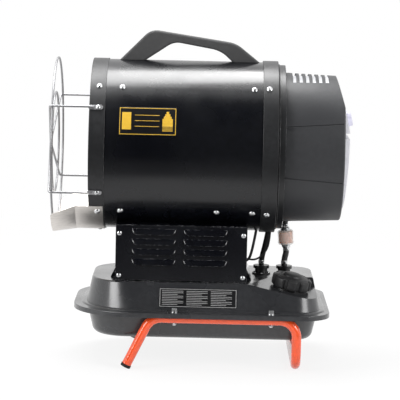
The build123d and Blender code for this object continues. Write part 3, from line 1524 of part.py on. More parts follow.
with BuildPart() as thermostat_knob:
    knob_plane = Plane(origin=panel_plane.origin + Vector(0, knob_y, 0) + panel_out * loose_gap,
                       x_dir=(0, 1, 0), z_dir=panel_out)
    with BuildSketch(knob_plane):
        Circle(knob_radius)
    extrude(amount=knob_length, taper=4)
    fillet(thermostat_knob.faces().sort_by(Axis(knob_plane.origin, panel_out))[-1].edges(), 1.2)
    with BuildSketch(knob_plane.offset(knob_length)):
        with Locations((0, knob_radius / 2)):
            Rectangle(knob_mark_width, knob_radius * 0.7)
    extrude(amount=-knob_mark_depth, mode=Mode.SUBTRACT)
    with BuildSketch(knob_plane):
        Circle(knob_stem)
    extrude(amount=-loose_gap - 2 * panel_wall)
save(thermostat_knob, "thermostat_knob")

with BuildPart() as display_window:
    with BuildSketch(panel_plane):
        with Locations((window_y, 0)):
            Rectangle(window_width, window_height)
    extrude(amount=-window_thickness)
save(display_window, "display_window")

# Rocker shown in its off position: its ends follow arcs about the axle.
rocker_tilt = panel_tilt + radians(switch_throw)
rocker_up = Vector(-sin(rocker_tilt), 0, cos(rocker_tilt))
rocker_plane = Plane(origin=axle, x_dir=rocker_up, z_dir=(0, 1, 0))
rocker_half = switch_height / 2
rocker_rise = switch_axle_depth + 0.6
with BuildPart() as power_switch:
    with BuildSketch(rocker_plane):
        Circle(rocker_half)
        wing = rocker_rise + rocker_half * tan(radians(switch_throw))
        Polygon((-rocker_half, -switch_axle_radius), (rocker_half, -switch_axle_radius),
                (rocker_half, wing), (0, rocker_rise), (-rocker_half, wing), align=None,
                mode=Mode.INTERSECT)
    extrude(amount=switch_width / 2, both=True)
    with BuildSketch(rocker_plane):
        Circle(switch_axle_radius)
    extrude(amount=switch_width / 2 + loose_gap + switch_cheek, both=True)
save(power_switch, "power_switch")

# Fuel pump and the pipe that runs under the motor and the fan to the nozzle
pump_top_z = pump_low_z + pump_length
with BuildPart() as fuel_pump:
    with BuildSketch(Plane.XY.offset(pump_low_z)):
        with Locations((pump_x, pump_y)):
            Circle(pump_radius)
    extrude(amount=pump_length)
    fillet(fuel_pump.edges().filter_by(GeomType.CIRCLE), 1.5)
    with BuildSketch(Plane.XY.offset(pump_low_z)):
        with Locations((pump_x, pump_y)):
            Circle(spigot_radius)
    extrude(amount=-pump_barb)
    with BuildSketch(Plane.XY.offset(pump_top_z)):
        with Locations((pump_x, pump_y)):
            RegularPolygon(pump_outlet, 6)
    extrude(amount=pump_outlet)
    with BuildSketch(Plane.XY.offset(pump_top_z + pump_outlet)):
        with Locations((pump_x, pump_y)):
            Circle(line_radius + shaft_clearance)
    extrude(amount=-pump_outlet - 1, mode=Mode.SUBTRACT)
    foot_low_z = axis_z - cover_radius + 3 * cover_wall
    with BuildSketch(Plane.XY.offset(foot_low_z)):
        with Locations((pump_x + pump_radius - 1, pump_y)):
            Rectangle(bracket_sheet + 1, pump_radius, align=(Align.MIN, Align.CENTER))
    extrude(amount=pump_top_z - 6 - foot_low_z)
    with BuildSketch(Plane.XY.offset(foot_low_z)):
        with Locations((pump_x + pump_radius, pump_y)):
            Rectangle(pump_radius, pump_radius, align=(Align.MIN, Align.CENTER))
    extrude(amount=bracket_sheet)
save(fuel_pump, "fuel_pump")

line_route = [
    Vector(pump_x, pump_y, pump_top_z + 1),
    Vector(pump_x, pump_y, line_high_z),
    Vector(line_drop_x, pump_y, line_high_z),
    Vector(line_drop_x, 0, line_low_z),
    Vector(line_rise_x, 0, line_low_z),
    Vector(line_rise_x, 0, axis_z),
    Vector(nozzle_x + nozzle_length - nozzle_radius, 0, axis_z),
]
with BuildPart() as fuel_line:
    add(swept_tube(line_route, line_bend, line_radius))
save(fuel_line, "fuel_line")
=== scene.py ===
import json
from math import cos, pi, radians, sin, sqrt

import bmesh
import bpy
from mathutils import Matrix, Vector


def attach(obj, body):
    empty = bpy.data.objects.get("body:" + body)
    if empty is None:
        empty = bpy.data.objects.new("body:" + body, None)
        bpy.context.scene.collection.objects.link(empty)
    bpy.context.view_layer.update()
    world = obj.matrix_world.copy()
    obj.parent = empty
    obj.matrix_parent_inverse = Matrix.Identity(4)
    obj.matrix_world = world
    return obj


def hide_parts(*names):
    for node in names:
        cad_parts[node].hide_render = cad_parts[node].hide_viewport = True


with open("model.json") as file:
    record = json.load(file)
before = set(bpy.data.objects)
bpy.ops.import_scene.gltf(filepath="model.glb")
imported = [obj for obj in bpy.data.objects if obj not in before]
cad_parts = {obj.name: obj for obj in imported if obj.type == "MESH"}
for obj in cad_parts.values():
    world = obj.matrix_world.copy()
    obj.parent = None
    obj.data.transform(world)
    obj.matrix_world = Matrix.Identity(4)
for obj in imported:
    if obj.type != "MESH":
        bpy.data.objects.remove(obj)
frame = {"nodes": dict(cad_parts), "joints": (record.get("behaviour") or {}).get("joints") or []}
nodes = frame["nodes"]
joints = {joint["name"]: joint for joint in frame["joints"]}
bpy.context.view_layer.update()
MM = 0.001

# Camera, fitted to the photograph's 400 x 400 frame
FRAME_PIXELS = 400
FOCAL_PIXELS = 2112.03
SENSOR_WIDTH = 36.0
CAMERA_AT = Vector((11.27, -3565.35, 702.4)) * MM
CAMERA_YAW = radians(-0.153)
CAMERA_PITCH = radians(6.976)
CAMERA_ROLL = radians(1.315)


def new_object(name, data):
    item = bpy.data.objects.new(name, data)
    bpy.context.scene.collection.objects.link(item)
    return item


def place_camera():
    ahead = Vector((sin(CAMERA_YAW) * cos(CAMERA_PITCH), cos(CAMERA_YAW) * cos(CAMERA_PITCH),
                    -sin(CAMERA_PITCH)))
    level_right = ahead.cross(Vector((0, 0, 1))).normalized()
    level_up = level_right.cross(ahead)
    right = level_right * cos(CAMERA_ROLL) + level_up * sin(CAMERA_ROLL)
    up = level_up * cos(CAMERA_ROLL) - level_right * sin(CAMERA_ROLL)
    data = bpy.data.cameras.new("camera")
    data.sensor_width = SENSOR_WIDTH
    data.lens = FOCAL_PIXELS * SENSOR_WIDTH / FRAME_PIXELS
    data.clip_end = 60.0
    camera = new_object("camera", data)
    turn = Matrix((right, up, -ahead)).transposed().to_4x4()
    camera.matrix_world = Matrix.Translation(CAMERA_AT) @ turn
    bpy.context.scene.camera = camera


# Node helpers
def give(tree, socket, value):
    """Link a socket to another one, or set a plain value on it."""
    if hasattr(value, "links"):
        tree.links.new(value, socket)
    else:
        socket.default_value = value


def new_node(tree, kind, inputs=None, **settings):
    node = tree.nodes.new(kind)
    for key, value in settings.items():
        setattr(node, key, value)
    for key, value in (inputs or {}).items():
        give(tree, node.inputs[key], value)
    return node


def math_node(tree, operation, *values, clamp=False):
    inputs = dict(enumerate(values))
    return new_node(tree, "ShaderNodeMath", inputs, operation=operation, use_clamp=clamp).outputs[0]


def times(tree, first, second):
    return math_node(tree, "MULTIPLY", first, second)


def ramp_node(tree, value, low, high, to_low=0.0, to_high=1.0):
    inputs = {"Value": value, "From Min": low, "From Max": high, "To Min": to_low, "To Max": to_high}
    return new_node(tree, "ShaderNodeMapRange", inputs, interpolation_type="SMOOTHSTEP").outputs["Result"]


def noise_node(tree, spot, scale, detail):
    inputs = {"Vector": spot, "Scale": scale, "Detail": detail}
    return new_node(tree, "ShaderNodeTexNoise", inputs).outputs["Fac"]


def object_spot(tree):
    return new_node(tree, "ShaderNodeTexCoord").outputs["Object"]


def new_group(name, inputs, outputs):
    group = bpy.data.node_groups.new(name, "ShaderNodeTree")
    for label, kind, start in inputs:
        socket = group.interface.new_socket(label, in_out="INPUT", socket_type="NodeSocket" + kind)
        socket.default_value = start
    for label, kind in outputs:
        group.interface.new_socket(label, in_out="OUTPUT", socket_type="NodeSocket" + kind)
    return group, group.nodes.new("NodeGroupInput").outputs, group.nodes.new("NodeGroupOutput").inputs


# Shared surface effects
def build_clouds():
    """Slow variation over a surface, and a fine one inside it."""
    group, given, result = new_group(
        "clouds", [("Size", "Float", 9.0), ("Fine Size", "Float", 120.0)],
        [("Cloud", "Float"), ("Fine", "Float")])
    spot = object_spot(group)
    for size, label, detail in (("Size", "Cloud", 4.0), ("Fine Size", "Fine", 2.0)):
        noise = noise_node(group, spot, given[size], detail)
        group.links.new(ramp_node(group, noise, 0.25, 0.75), result[label])
    return group


def build_grain():
    """Height of a sprayed or moulded skin."""
    group, given, result = new_group(
        "skin_grain", [("Size", "Float", 900.0), ("Wave Size", "Float", 60.0), ("Wave", "Float", 0.3)],
        [("Height", "Float")])
    spot = object_spot(group)
    fast, slow = [noise_node(group, spot, given[size], 2.0) for size in ("Size", "Wave Size")]
    waves = times(group, slow, given["Wave"])
    group.links.new(math_node(group, "ADD", fast, waves), result["Height"])
    return group


def build_edge_wear():
    """Mask of rubbed edges, broken up by noise."""
    group, given, result = new_group(
        "edge_wear", [("Width", "Float", 0.0008), ("Amount", "Float", 1.0), ("Break", "Float", 160.0)],
        [("Mask", "Float"), ("Soft Normal", "Vector")])
    bevel = new_node(group, "ShaderNodeBevel", {"Radius": given["Width"]}, samples=4)
    true_normal = new_node(group, "ShaderNodeNewGeometry").outputs["True Normal"]
    facing = new_node(group, "ShaderNodeVectorMath", {0: bevel.outputs["Normal"], 1: true_normal},
                      operation="DOT_PRODUCT")
    edge = math_node(group, "SUBTRACT", 1.0, facing.outputs["Value"])
    noise = noise_node(group, object_spot(group), given["Break"], 3.0)
    broken = times(group, edge, ramp_node(group, noise, 0.42, 0.62))
    rubbed = ramp_node(group, broken, 0.03, 0.14)
    worn = math_node(group, "MULTIPLY", rubbed, given["Amount"], clamp=True)
    group.links.new(worn, result["Mask"])
    group.links.new(bevel.outputs["Normal"], result["Soft Normal"])
    return group


def build_brush():
    """Streaks of a brushed or drawn sheet along one direction."""
    group, given, result = new_group(
        "brush_lines", [("Stretch", "Vector", (6.0, 900.0, 900.0))],
        [("Streak", "Float"), ("Height", "Float")])
    mapping = new_node(group, "ShaderNodeMapping", {"Vector": object_spot(group), "Scale": given["Stretch"]})
    noise = noise_node(group, mapping.outputs["Vector"], 1.0, 4.0)
    group.links.new(ramp_node(group, noise, 0.3, 0.7), result["Streak"])
    group.links.new(noise, result["Height"])
    return group


CLOUDS = build_clouds()
GRAIN = build_grain()
EDGE_WEAR = build_edge_wear()
BRUSH = build_brush()
FINE_SPOTS = 140.0


def place_group(tree, group, **values):
    inputs = {label.replace("_", " "): value for label, value in values.items()}
    return new_node(tree, "ShaderNodeGroup", inputs, node_tree=group)


def mix_colours(tree, factor, *colours):
    inputs = {"Factor": factor}
    for slot, colour in zip((6, 7), colours):
        inputs[slot] = colour if hasattr(colour, "links") else (*colour, 1.0)
    return new_node(tree, "ShaderNodeMix", inputs, data_type="RGBA").outputs[2]


def new_material(name, inputs):
    """Material and its node tree, with plain values on some of its shader's inputs."""
    material = bpy.data.materials.new(name)
    material.use_nodes = True
    shader = material.node_tree.nodes["Principled BSDF"].inputs
    for key, value in inputs.items():
        shader[key].default_value = value
    return material, material.node_tree


def finish_material(material, base, rough_map, bump, on):
    """Join the maps to the shader, and put the material on the solids whose names are listed."""
    shader = material.node_tree.nodes["Principled BSDF"].inputs
    for label, source in (("Base Color", base), ("Roughness", rough_map), ("Normal", bump.outputs["Normal"])):
        material.node_tree.links.new(source, shader[label])
    for name in on.split():
        nodes[name].data.materials.clear()
        nodes[name].data.materials.append(material)
    return material


def shaded(colour, factor):
    return tuple(min(1.0, channel * factor) for channel in colour)


def surface(name, colour, rough, metal=0.0, vary=0.25, rough_vary=0.06, cloud=9.0,
            grain=0.0, grain_size=900.0, wave=0.3, wave_size=60.0, wear=0.0, wear_width=0.8,
            wear_colour=(0.5, 0.5, 0.5), brush=None, brush_depth=0.0, coat=0.0, coat_rough=0.12,
            specular=0.5, on=""):
    """Opaque finish: colour variation, grain or brush lines, rubbed edges and softened corners."""
    material, tree = new_material(name, {
        "Metallic": metal, "Specular IOR Level": specular, "Coat Weight": coat, "Coat Roughness": coat_rough})
    clouds = place_group(tree, CLOUDS, Size=cloud, Fine_Size=FINE_SPOTS).outputs
    blend = times(tree, clouds["Cloud"], clouds["Fine"])
    base = mix_colours(tree, blend, shaded(colour, 1 - vary), shaded(colour, 1 + vary))
    if brush:
        lines = place_group(tree, BRUSH, Stretch=brush).outputs
        base = mix_colours(tree, lines["Streak"], base, shaded(colour, 1 + vary))
        height, depth = lines["Height"], brush_depth
    else:
        skin = place_group(tree, GRAIN, Size=grain_size, Wave_Size=wave_size, Wave=wave)
        height, depth = skin.outputs["Height"], grain
    edges = place_group(tree, EDGE_WEAR, Width=wear_width * MM, Amount=wear).outputs
    if wear > 0:
        base = mix_colours(tree, edges["Mask"], base, wear_colour)
    bump = new_node(tree, "ShaderNodeBump", {
        "Height": height, "Strength": 1.0, "Distance": depth * MM, "Normal": edges["Soft Normal"]})
    rough_map = ramp_node(tree, clouds["Cloud"], 0.0, 1.0, rough - rough_vary, rough + rough_vary)
    return finish_material(material, base, rough_map, bump, on)


CLEAR_IOR = 1.45
CLEAR_SPOTS = (20.0, 200.0)
CLEAR_SHADES = (0.92, 1.05)
CLEAR_SKIN = 300.0
CLEAR_SKIN_DEPTH = 0.02
CLEAR_ROUGH_VARY = 0.05


def clear_surface(name, colour, rough, transmission, cover=1.0, on=""):
    """Clear or tinted plastic with slight waviness."""
    material, tree = new_material(name, {
        "Transmission Weight": transmission, "IOR": CLEAR_IOR, "Alpha": cover})
    clouds = place_group(tree, CLOUDS, Size=CLEAR_SPOTS[0], Fine_Size=CLEAR_SPOTS[1]).outputs
    base = mix_colours(tree, clouds["Cloud"], *(shaded(colour, shade) for shade in CLEAR_SHADES))
    skin = place_group(tree, GRAIN, Size=CLEAR_SKIN)
    bump = new_node(tree, "ShaderNodeBump", {
        "Height": skin.outputs["Height"], "Distance": CLEAR_SKIN_DEPTH * MM})
    rough_map = ramp_node(tree, clouds["Fine"], 0.0, 1.0, rough, rough + CLEAR_ROUGH_VARY)
    return finish_material(material, base, rough_map, bump, on)


# Finishes, lengths in millimetres, each with the solids that it goes on
surface("drum_paint", (0.0025, 0.003, 0.005), 0.27, vary=0.3, grain=0.012, grain_size=1400.0, wave=1.2,
        wave_size=38.0, wear=0.5, wear_colour=(0.10, 0.10, 0.105), coat=0.15, on="drum_shell")
# Charcoal of the bands, lighter than the drum's black: partly the satin paint's own colour, partly painted
# sheen for the grey reflection on the bands
surface("band_paint_and_sheen", (0.012, 0.0125, 0.014), 0.4, vary=0.3, grain=0.012, grain_size=1400.0, wave=1.0,
        wave_size=45.0, wear=0.6, wear_width=1.0, wear_colour=(0.22, 0.22, 0.23),
        on="front_band rear_band inlet_ring")
BOX_PAINT = surface("box_paint", (0.003, 0.0035, 0.006), 0.26, vary=0.3, grain=0.006, grain_size=1200.0,
                    wear=0.9, wear_width=0.6, wear_colour=(0.4, 0.4, 0.42), coat=0.8, coat_rough=0.1,
                    on="base_box side_cover_near side_cover_far")
TANK_PAINT = surface("tank_paint", (0.03, 0.031, 0.034), 0.28, vary=0.22, grain=0.014, grain_size=1300.0,
                     wave=0.9, wave_size=40.0, wear=0.35, wear_width=1.0, wear_colour=(0.16, 0.16, 0.165),
                     coat=0.6, coat_rough=0.16, on="tank_upper tank_lower")
surface("frame_paint", (0.86, 0.085, 0.012), 0.2, vary=0.08, rough_vary=0.04, grain=0.01, wear=0.5,
        wear_colour=(0.9, 0.28, 0.16), coat=0.8, coat_rough=0.06, on="frame_tube")
ZINC = surface("zinc_plate", (0.78, 0.79, 0.8), 0.3, metal=1.0, vary=0.12, rough_vary=0.08, cloud=60.0,
               grain=0.01, grain_size=700.0, wear=0.3, wear_width=0.3, wear_colour=(0.9, 0.9, 0.9),
               on="casing_screws guard_screws handle_screws side_cover_screws fitting_screws frame_bolts "
                  "frame_nuts drain_plug motor_bracket motor_shaft pickup_tube hose_clamps")
surface("wire_chrome", (0.34, 0.34, 0.35), 0.42, metal=0.85, vary=0.15, rough_vary=0.08, cloud=30.0,
        brush=(400.0, 400.0, 400.0), brush_depth=0.01, on="front_guard guard_rings")
surface("deflector_steel", (0.84, 0.8, 0.76), 0.4, metal=1.0, vary=0.08, rough_vary=0.07, cloud=14.0,
        brush=(8.0, 500.0, 500.0), brush_depth=0.02, wear=0.5, wear_colour=(0.86, 0.84, 0.8),
        on="deflector_plate")
surface("hot_steel", (0.42, 0.36, 0.31), 0.42, metal=1.0, vary=0.3, rough_vary=0.1, cloud=16.0, grain=0.03,
        grain_size=500.0, wear=0.4, wear_colour=(0.6, 0.55, 0.5),
        on="combustion_chamber emitter_disc burner_head")
surface("cone_aluminium", (0.84, 0.84, 0.84), 0.24, metal=1.0, vary=0.08, brush=(30.0, 300.0, 300.0),
        brush_depth=0.02, on="reflector_cone")
surface("handle_plastic", (0.062, 0.062, 0.063), 0.62, vary=0.1, grain=0.06, grain_size=1600.0, wave=0.2,
        specular=0.3, wear_width=1.2, on="handle")
CAP_PLASTIC = surface("cap_plastic", (0.022, 0.022, 0.023), 0.45, vary=0.2, grain=0.05, grain_size=1500.0,
                      specular=0.35, wear=0.25, wear_colour=(0.09, 0.09, 0.09), on="fuel_cap")
surface("cover_plastic", (0.032, 0.033, 0.036), 0.48, vary=0.12, grain=0.05, grain_size=1500.0,
        specular=0.4, wear_width=1.0, on="rear_cover")
surface("pale_plastic", (0.78, 0.78, 0.83), 0.4, vary=0.05, grain=0.03, grain_size=1300.0,
        on="rear_guard control_panel")
KNOB_PLASTIC = surface("knob_plastic", (0.7, 0.69, 0.82), 0.35, vary=0.05, grain=0.02, on="thermostat_knob")
# Black plastic; on the filler neck the black is also painted shade for the dark ring under the fuel cap
BLACK_PLASTIC_AND_SHADE = surface("black_plastic_and_painted_shade", (0.012, 0.012, 0.013), 0.32, vary=0.2, grain=0.02,
                        on="power_switch outlet_fitting return_fitting "
                           "filler_neck filler_strainer cord_gland ignition_transformer")
RUBBER = surface("rubber", (0.014, 0.014, 0.014), 0.72, vary=0.3, grain=0.06, grain_size=700.0,
                 specular=0.3, on="foot_caps cap_gasket return_hose")
HOSE_RUBBER = surface("hose_rubber", (0.045, 0.045, 0.046), 0.55, vary=0.25, grain=0.05, grain_size=800.0,
                      on="supply_hose filter_hose")
CABLE_SHEATH = surface("cable_sheath", (0.02, 0.02, 0.021), 0.45, vary=0.2, grain=0.02,
                       on="wiring_cable sensor_lead")
surface("brass", (0.78, 0.58, 0.26), 0.28, metal=1.0, vary=0.12, brush=(500.0, 40.0, 500.0),
        brush_depth=0.01, on="fuel_nozzle flame_sensor")
surface("copper", (0.8, 0.42, 0.26), 0.3, metal=1.0, vary=0.2, grain=0.02, cloud=40.0, on="fuel_line")
surface("ceramic", (0.84, 0.8, 0.72), 0.25, vary=0.06, grain=0.01, grain_size=500.0, on="igniter")
surface("board_laminate", (0.02, 0.13, 0.05), 0.4, vary=0.25, cloud=60.0, grain=0.02, on="control_board")
surface("motor_metal", (0.3, 0.31, 0.33), 0.35, metal=0.6, vary=0.15, brush=(700.0, 30.0, 30.0),
        brush_depth=0.01, on="fuel_pump motor_body")
surface("fan_metal", (0.6, 0.61, 0.63), 0.3, metal=1.0, vary=0.1, brush=(40.0, 200.0, 200.0),
        brush_depth=0.01, on="fan")
FILTER_PAPER = surface("filter_paper", (0.95, 0.36, 0.1), 0.7, vary=0.08, grain=0.06, grain_size=600.0,
                       on="filter_element")
clear_surface("window_tint", (0.03, 0.02, 0.025), 0.06, 0.35, on="display_window")
CLEAR_BOWL = clear_surface("clear_bowl", (0.96, 0.95, 0.93), 0.1, 0.0, cover=0.3, on="filter_bowl")
PLATE_BLACK = surface("plate_black", (0.006, 0.006, 0.007), 0.34, vary=0.15, grain=0.004, grain_size=1500.0)
OCHRE_PRINT = surface("ochre_print", (0.66, 0.4, 0.03), 0.42, vary=0.08, grain=0.003, grain_size=1500.0)
PALE_PRINT = surface("pale_print", (0.52, 0.52, 0.52), 0.42, vary=0.08, grain=0.003, grain_size=1500.0)
# Pale grey of the sheet under the top vents: painted highlight for the light seen through the vents
VENT_HIGHLIGHT_FINISH = surface("vent_painted_highlight", (0.55, 0.56, 0.58), 0.45, metal=0.3, vary=0.1, grain=0.01)

# Sizes that the scene's own pieces share with the solids, in millimetres
AXIS_Z = 360.0
DRUM_RADIUS = 142.5
BOX_HALF_WIDTH = 105.0
CLEARANCE = 0.1


# Mesh helpers
def add_piece(name, mesh, material, slot, body="heater", replaces=(), sharp=35.0):
    """Object at the origin from a mesh in millimetres, riding on a body."""
    mesh.transform(Matrix.Scale(MM, 4))
    mesh.polygons.foreach_set("use_smooth", [True] * len(mesh.polygons))
    mesh.set_sharp_from_angle(angle=radians(sharp))
    mesh.materials.clear()
    mesh.materials.append(material)
    piece = new_object(name, mesh)
    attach(piece, body)
    if replaces:
        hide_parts(*replaces)


def close_form(form):
    """Merge a bmesh's doubles and turn its faces outwards."""
    bmesh.ops.remove_doubles(form, verts=form.verts, dist=1e-4)
    bmesh.ops.recalc_face_normals(form, faces=form.faces)


def add_form(name, form, material, slot, closed=True, **choices):
    """Piece from a bmesh in millimetres."""
    if closed:
        close_form(form)
    mesh = bpy.data.meshes.new(name)
    form.to_mesh(mesh)
    form.free()
    add_piece(name, mesh, material, slot, **choices)


def grid_faces(form, rows, closed):
    """Quads between rows of points; closed rows join their last point to their first."""
    rings = [[form.verts.new(point) for point in row] for row in rows]
    for low, high in zip(rings, rings[1:]):
        count = len(low)
        for i in range(count if closed else count - 1):
            j = (i + 1) % count
            form.faces.new((low[i], low[j], high[j], high[i]))
    return rings


def turned_rows(profile, seat, points, groove=None):
    """Rows of points about the seat's Z from (radius, height) or (radius, height, depth of groove)."""
    rows = []
    for radius, height, *depth in profile:
        row = []
        for i in range(points):
            angle = 2 * pi * i / points
            reach = radius - depth[0] * groove(angle) if depth else radius
            row.append(seat @ Vector((reach * cos(angle), reach * sin(angle), height)))
        rows.append(row)
    return rows


def close_ends(form, rings):
    form.faces.new(list(reversed(rings[0])))
    form.faces.new(rings[-1])


def turned(form, profile, seat, points, groove=None):
    """Solid of revolution, closed at both ends."""
    close_ends(form, grid_faces(form, turned_rows(profile, seat, points, groove), True))


def turned_ring(form, profile, seat, points):
    """Solid of revolution whose profile runs back to its start."""
    rows = turned_rows(profile, seat, points)
    grid_faces(form, rows + rows[:1], True)


def slab(form, outline, depth, place):
    """Prism of an outline from height 0 to depth; place maps (x, y, height) to the object."""
    rows = [[place(x, y, height) for x, y in outline] for height in (0.0, depth)]
    close_ends(form, grid_faces(form, rows, True))


def rectangle(x0, x1, y0, y1):
    return [(x0, y0), (x1, y0), (x1, y1), (x0, y1)]


def seat_matrix(origin, axis, x_hint=(1, 0, 0)):
    """Matrix whose Z is an axis, standing at an origin."""
    z_dir = Vector(axis).normalized()
    x_dir = Vector(x_hint) - z_dir * Vector(x_hint).dot(z_dir)
    x_dir.normalize()
    turn = Matrix((x_dir, z_dir.cross(x_dir), z_dir)).transposed().to_4x4()
    return Matrix.Translation(Vector(origin)) @ turn


def node_islands(name):
    """Point sets of a node's separate solids, in millimetres."""
    form = bmesh.new()
    form.from_mesh(nodes[name].data)
    bmesh.ops.remove_doubles(form, verts=form.verts, dist=1e-6)
    todo = set(form.verts)
    islands = []
    while todo:
        front = [todo.pop()]
        island = []
        while front:
            vert = front.pop()
            island.append(vert.co / MM)
            for edge in vert.link_edges:
                other = edge.other_vert(vert)
                if other in todo:
                    todo.remove(other)
                    front.append(other)
        islands.append(island)
    form.free()
    return islands


# Pan head screws, instanced on the seats of the solids that they stand for
HEAD_SPREAD = 1.04
KEEP_SIZE = 4.0
KEEP_LIFT = 2.01
RECESS_LENGTH = 0.8
RECESS_WIDTH = 0.2
RECESS_DEPTH = 0.9
RECESS_LIFT = 1.05
HEAD_TOP_SHARE = 0.3
SPIN_SEED = 4


def build_screw_tree():
    """Geometry nodes: a domed head with a cross recess on every point, turned along its aim."""
    tree = bpy.data.node_groups.new("pan_head_screws", "GeometryNodeTree")
    tree.interface.new_socket("Geometry", in_out="INPUT", socket_type="NodeSocketGeometry")
    for label, start in (("Head Radius", 0.005), ("Head Height", 0.0028)):
        socket = tree.interface.new_socket(label, in_out="INPUT", socket_type="NodeSocketFloat")
        socket.default_value = start
    tree.interface.new_socket("Finish", in_out="INPUT", socket_type="NodeSocketMaterial")
    tree.interface.new_socket("Geometry", in_out="OUTPUT", socket_type="NodeSocketGeometry")
    given = tree.nodes.new("NodeGroupInput").outputs
    result = tree.nodes.new("NodeGroupOutput").inputs

    def vector(x, y, z):
        return new_node(tree, "ShaderNodeCombineXYZ", {0: x, 1: y, 2: z}).outputs[0]

    def moved(mesh, lift, scale=(1.0, 1.0, 1.0)):
        inputs = {"Geometry": mesh, "Translation": vector(0.0, 0.0, lift), "Scale": scale}
        return new_node(tree, "GeometryNodeTransform", inputs).outputs[0]

    def block(size, lift):
        return moved(new_node(tree, "GeometryNodeMeshCube", {"Size": size}).outputs["Mesh"], lift)

    def boolean(operation, first, *others):
        node = new_node(tree, "GeometryNodeMeshBoolean", operation=operation, solver="EXACT")
        tree.links.new(first, node.inputs["Mesh 1" if operation == "DIFFERENCE" else "Mesh 2"])
        for other in others:
            tree.links.new(other, node.inputs["Mesh 2"])
        return node.outputs["Mesh"]

    radius, height = given["Head Radius"], given["Head Height"]
    ball = new_node(tree, "GeometryNodeMeshUVSphere", {"Segments": 28, "Rings": 14, "Radius": 1.0})
    wide = times(tree, radius, HEAD_SPREAD)
    dome = moved(ball.outputs["Mesh"], 0.0, vector(wide, wide, height))
    keep = times(tree, radius, KEEP_SIZE)
    head = boolean("INTERSECT", dome, block(vector(keep, keep, keep), times(tree, radius, KEEP_LIFT)))
    long_side, thin_side = times(tree, radius, RECESS_LENGTH), times(tree, radius, RECESS_WIDTH)
    deep, lift = times(tree, height, RECESS_DEPTH), times(tree, height, RECESS_LIFT)
    head = boolean("DIFFERENCE", head, block(vector(long_side, thin_side, deep), lift),
                   block(vector(thin_side, long_side, deep), lift))
    aim = new_node(tree, "GeometryNodeInputNamedAttribute", {"Name": "aim"}, data_type="FLOAT_VECTOR")
    turn = new_node(tree, "FunctionNodeAlignRotationToVector", {"Vector": aim.outputs["Attribute"]}, axis="Z")
    spin = new_node(tree, "FunctionNodeRandomValue", {"Min": 0.0, "Max": pi / 2, "Seed": SPIN_SEED},
                    data_type="FLOAT")
    spin_angle = next(socket for socket in spin.outputs if socket.enabled)
    spun = new_node(tree, "FunctionNodeEulerToRotation", {0: vector(0.0, 0.0, spin_angle)})
    own_turn = new_node(tree, "FunctionNodeRotateRotation", {
        "Rotation": turn.outputs["Rotation"], "Rotate By": spun.outputs[0]}, rotation_space="LOCAL")
    place = new_node(tree, "GeometryNodeInstanceOnPoints", {
        "Points": given["Geometry"], "Instance": head, "Rotation": own_turn.outputs["Rotation"]})
    real = new_node(tree, "GeometryNodeRealizeInstances", {"Geometry": place.outputs["Instances"]})
    paint = new_node(tree, "GeometryNodeSetMaterial", {
        "Geometry": real.outputs["Geometry"], "Material": given["Finish"]})
    tree.links.new(paint.outputs["Geometry"], result["Geometry"])
    return tree


SCREW_TREE = build_screw_tree()


def from_tree(name, points_mesh, tree, material, values, slot, replaces):
    """Plain mesh piece from a geometry nodes tree run on a mesh of points."""
    carrier = new_object(name + "_seats", points_mesh)
    modifier = carrier.modifiers.new("tree", "NODES")
    modifier.node_group = tree
    for item in tree.interface.items_tree:
        if item.item_type == "SOCKET" and item.in_out == "INPUT" and item.name in values:
            modifier[item.identifier] = values[item.name]
    depsgraph = bpy.context.evaluated_depsgraph_get()
    mesh = bpy.data.meshes.new_from_object(carrier.evaluated_get(depsgraph))
    bpy.data.objects.remove(carrier)
    mesh.transform(Matrix.Scale(1 / MM, 4))
    add_piece(name, mesh, material, slot, replaces=replaces)


def screw_seats(name, outward, height):
    """One point at each screw's seat, with the way that its head faces."""
    seats, aims = [], []
    for island in node_islands(name):
        middle = sum(island, Vector()) / len(island)
        aim = outward(middle)
        top = max((point - middle).dot(aim) for point in island)
        head = [point for point in island if (point - middle).dot(aim) > top - HEAD_TOP_SHARE * height]
        centre = sum(head, Vector()) / len(head)
        seats.append((centre + aim * (top - height - (centre - middle).dot(aim))) * MM)
        aims.append(aim)
    mesh = bpy.data.meshes.new(name + "_points")
    mesh.from_pydata(seats, [], [])
    attribute = mesh.attributes.new("aim", "FLOAT_VECTOR", "POINT")
    for i, aim in enumerate(aims):
        attribute.data[i].vector = aim
    return mesh


def from_axis(point):
    return Vector((0, point.y, point.z - AXIS_Z)).normalized()


def from_side(point):
    return Vector((0, 1 if point.y > 0 else -1, 0))


def upwards(point):
    return Vector((0, 0, 1))


def build_screws():
    groups = (("casing_screws", from_axis, 5.1, 3.3), ("guard_screws", from_axis, 3.9, 2.2),
              ("side_cover_screws", from_side, 3.9, 2.2), ("fitting_screws", upwards, 2.0, 1.6))
    for node, outward, radius, height in groups:
        values = {"Head Radius": radius * MM, "Head Height": height * MM, "Finish": ZINC}
        from_tree(node.replace("screws", "screw_heads"), screw_seats(node, outward, height), SCREW_TREE,
                  ZINC, values, "bright_zinc", (node,))


# Louvred side covers
COVER_X = (-136.0, 81.8)
COVER_Z = (143.0, 235.5)
COVER_SHEET = 1.2
SHELF_INNER_Y = 68.9
HOOD_ROWS = 4
HOOD_PITCH = 16.8
HOOD_TOP_ROW_Z = 219.4
HOOD_LENGTH = 72.5
HOOD_HEIGHT = 9.6
HOOD_DEPTH = 5.2
HOOD_MIDDLES = (-72.8, 12.7)
HOOD_END = 9.0
HOOD_STEPS = 44
HOOD_LAYERS = 9
HOOD_CORNER = 0.12
HOOD_CURVE = 0.8
LIP = 1.0
LIP_FROM = 1.1
SLOT_HALF = (HOOD_LENGTH - HOOD_END) / 2
SLOT_LIFT = 0.6
SLOT_SHARE = 0.55
SHELF_DROP = 0.05


def hood_bulge(along):
    """Share of the full depth along a hood: its ends are rounded."""
    inside = max(0.0, abs(along) - (HOOD_LENGTH / 2 - HOOD_END)) / HOOD_END
    return sqrt(max(0.0, 1.0 - inside ** 2))


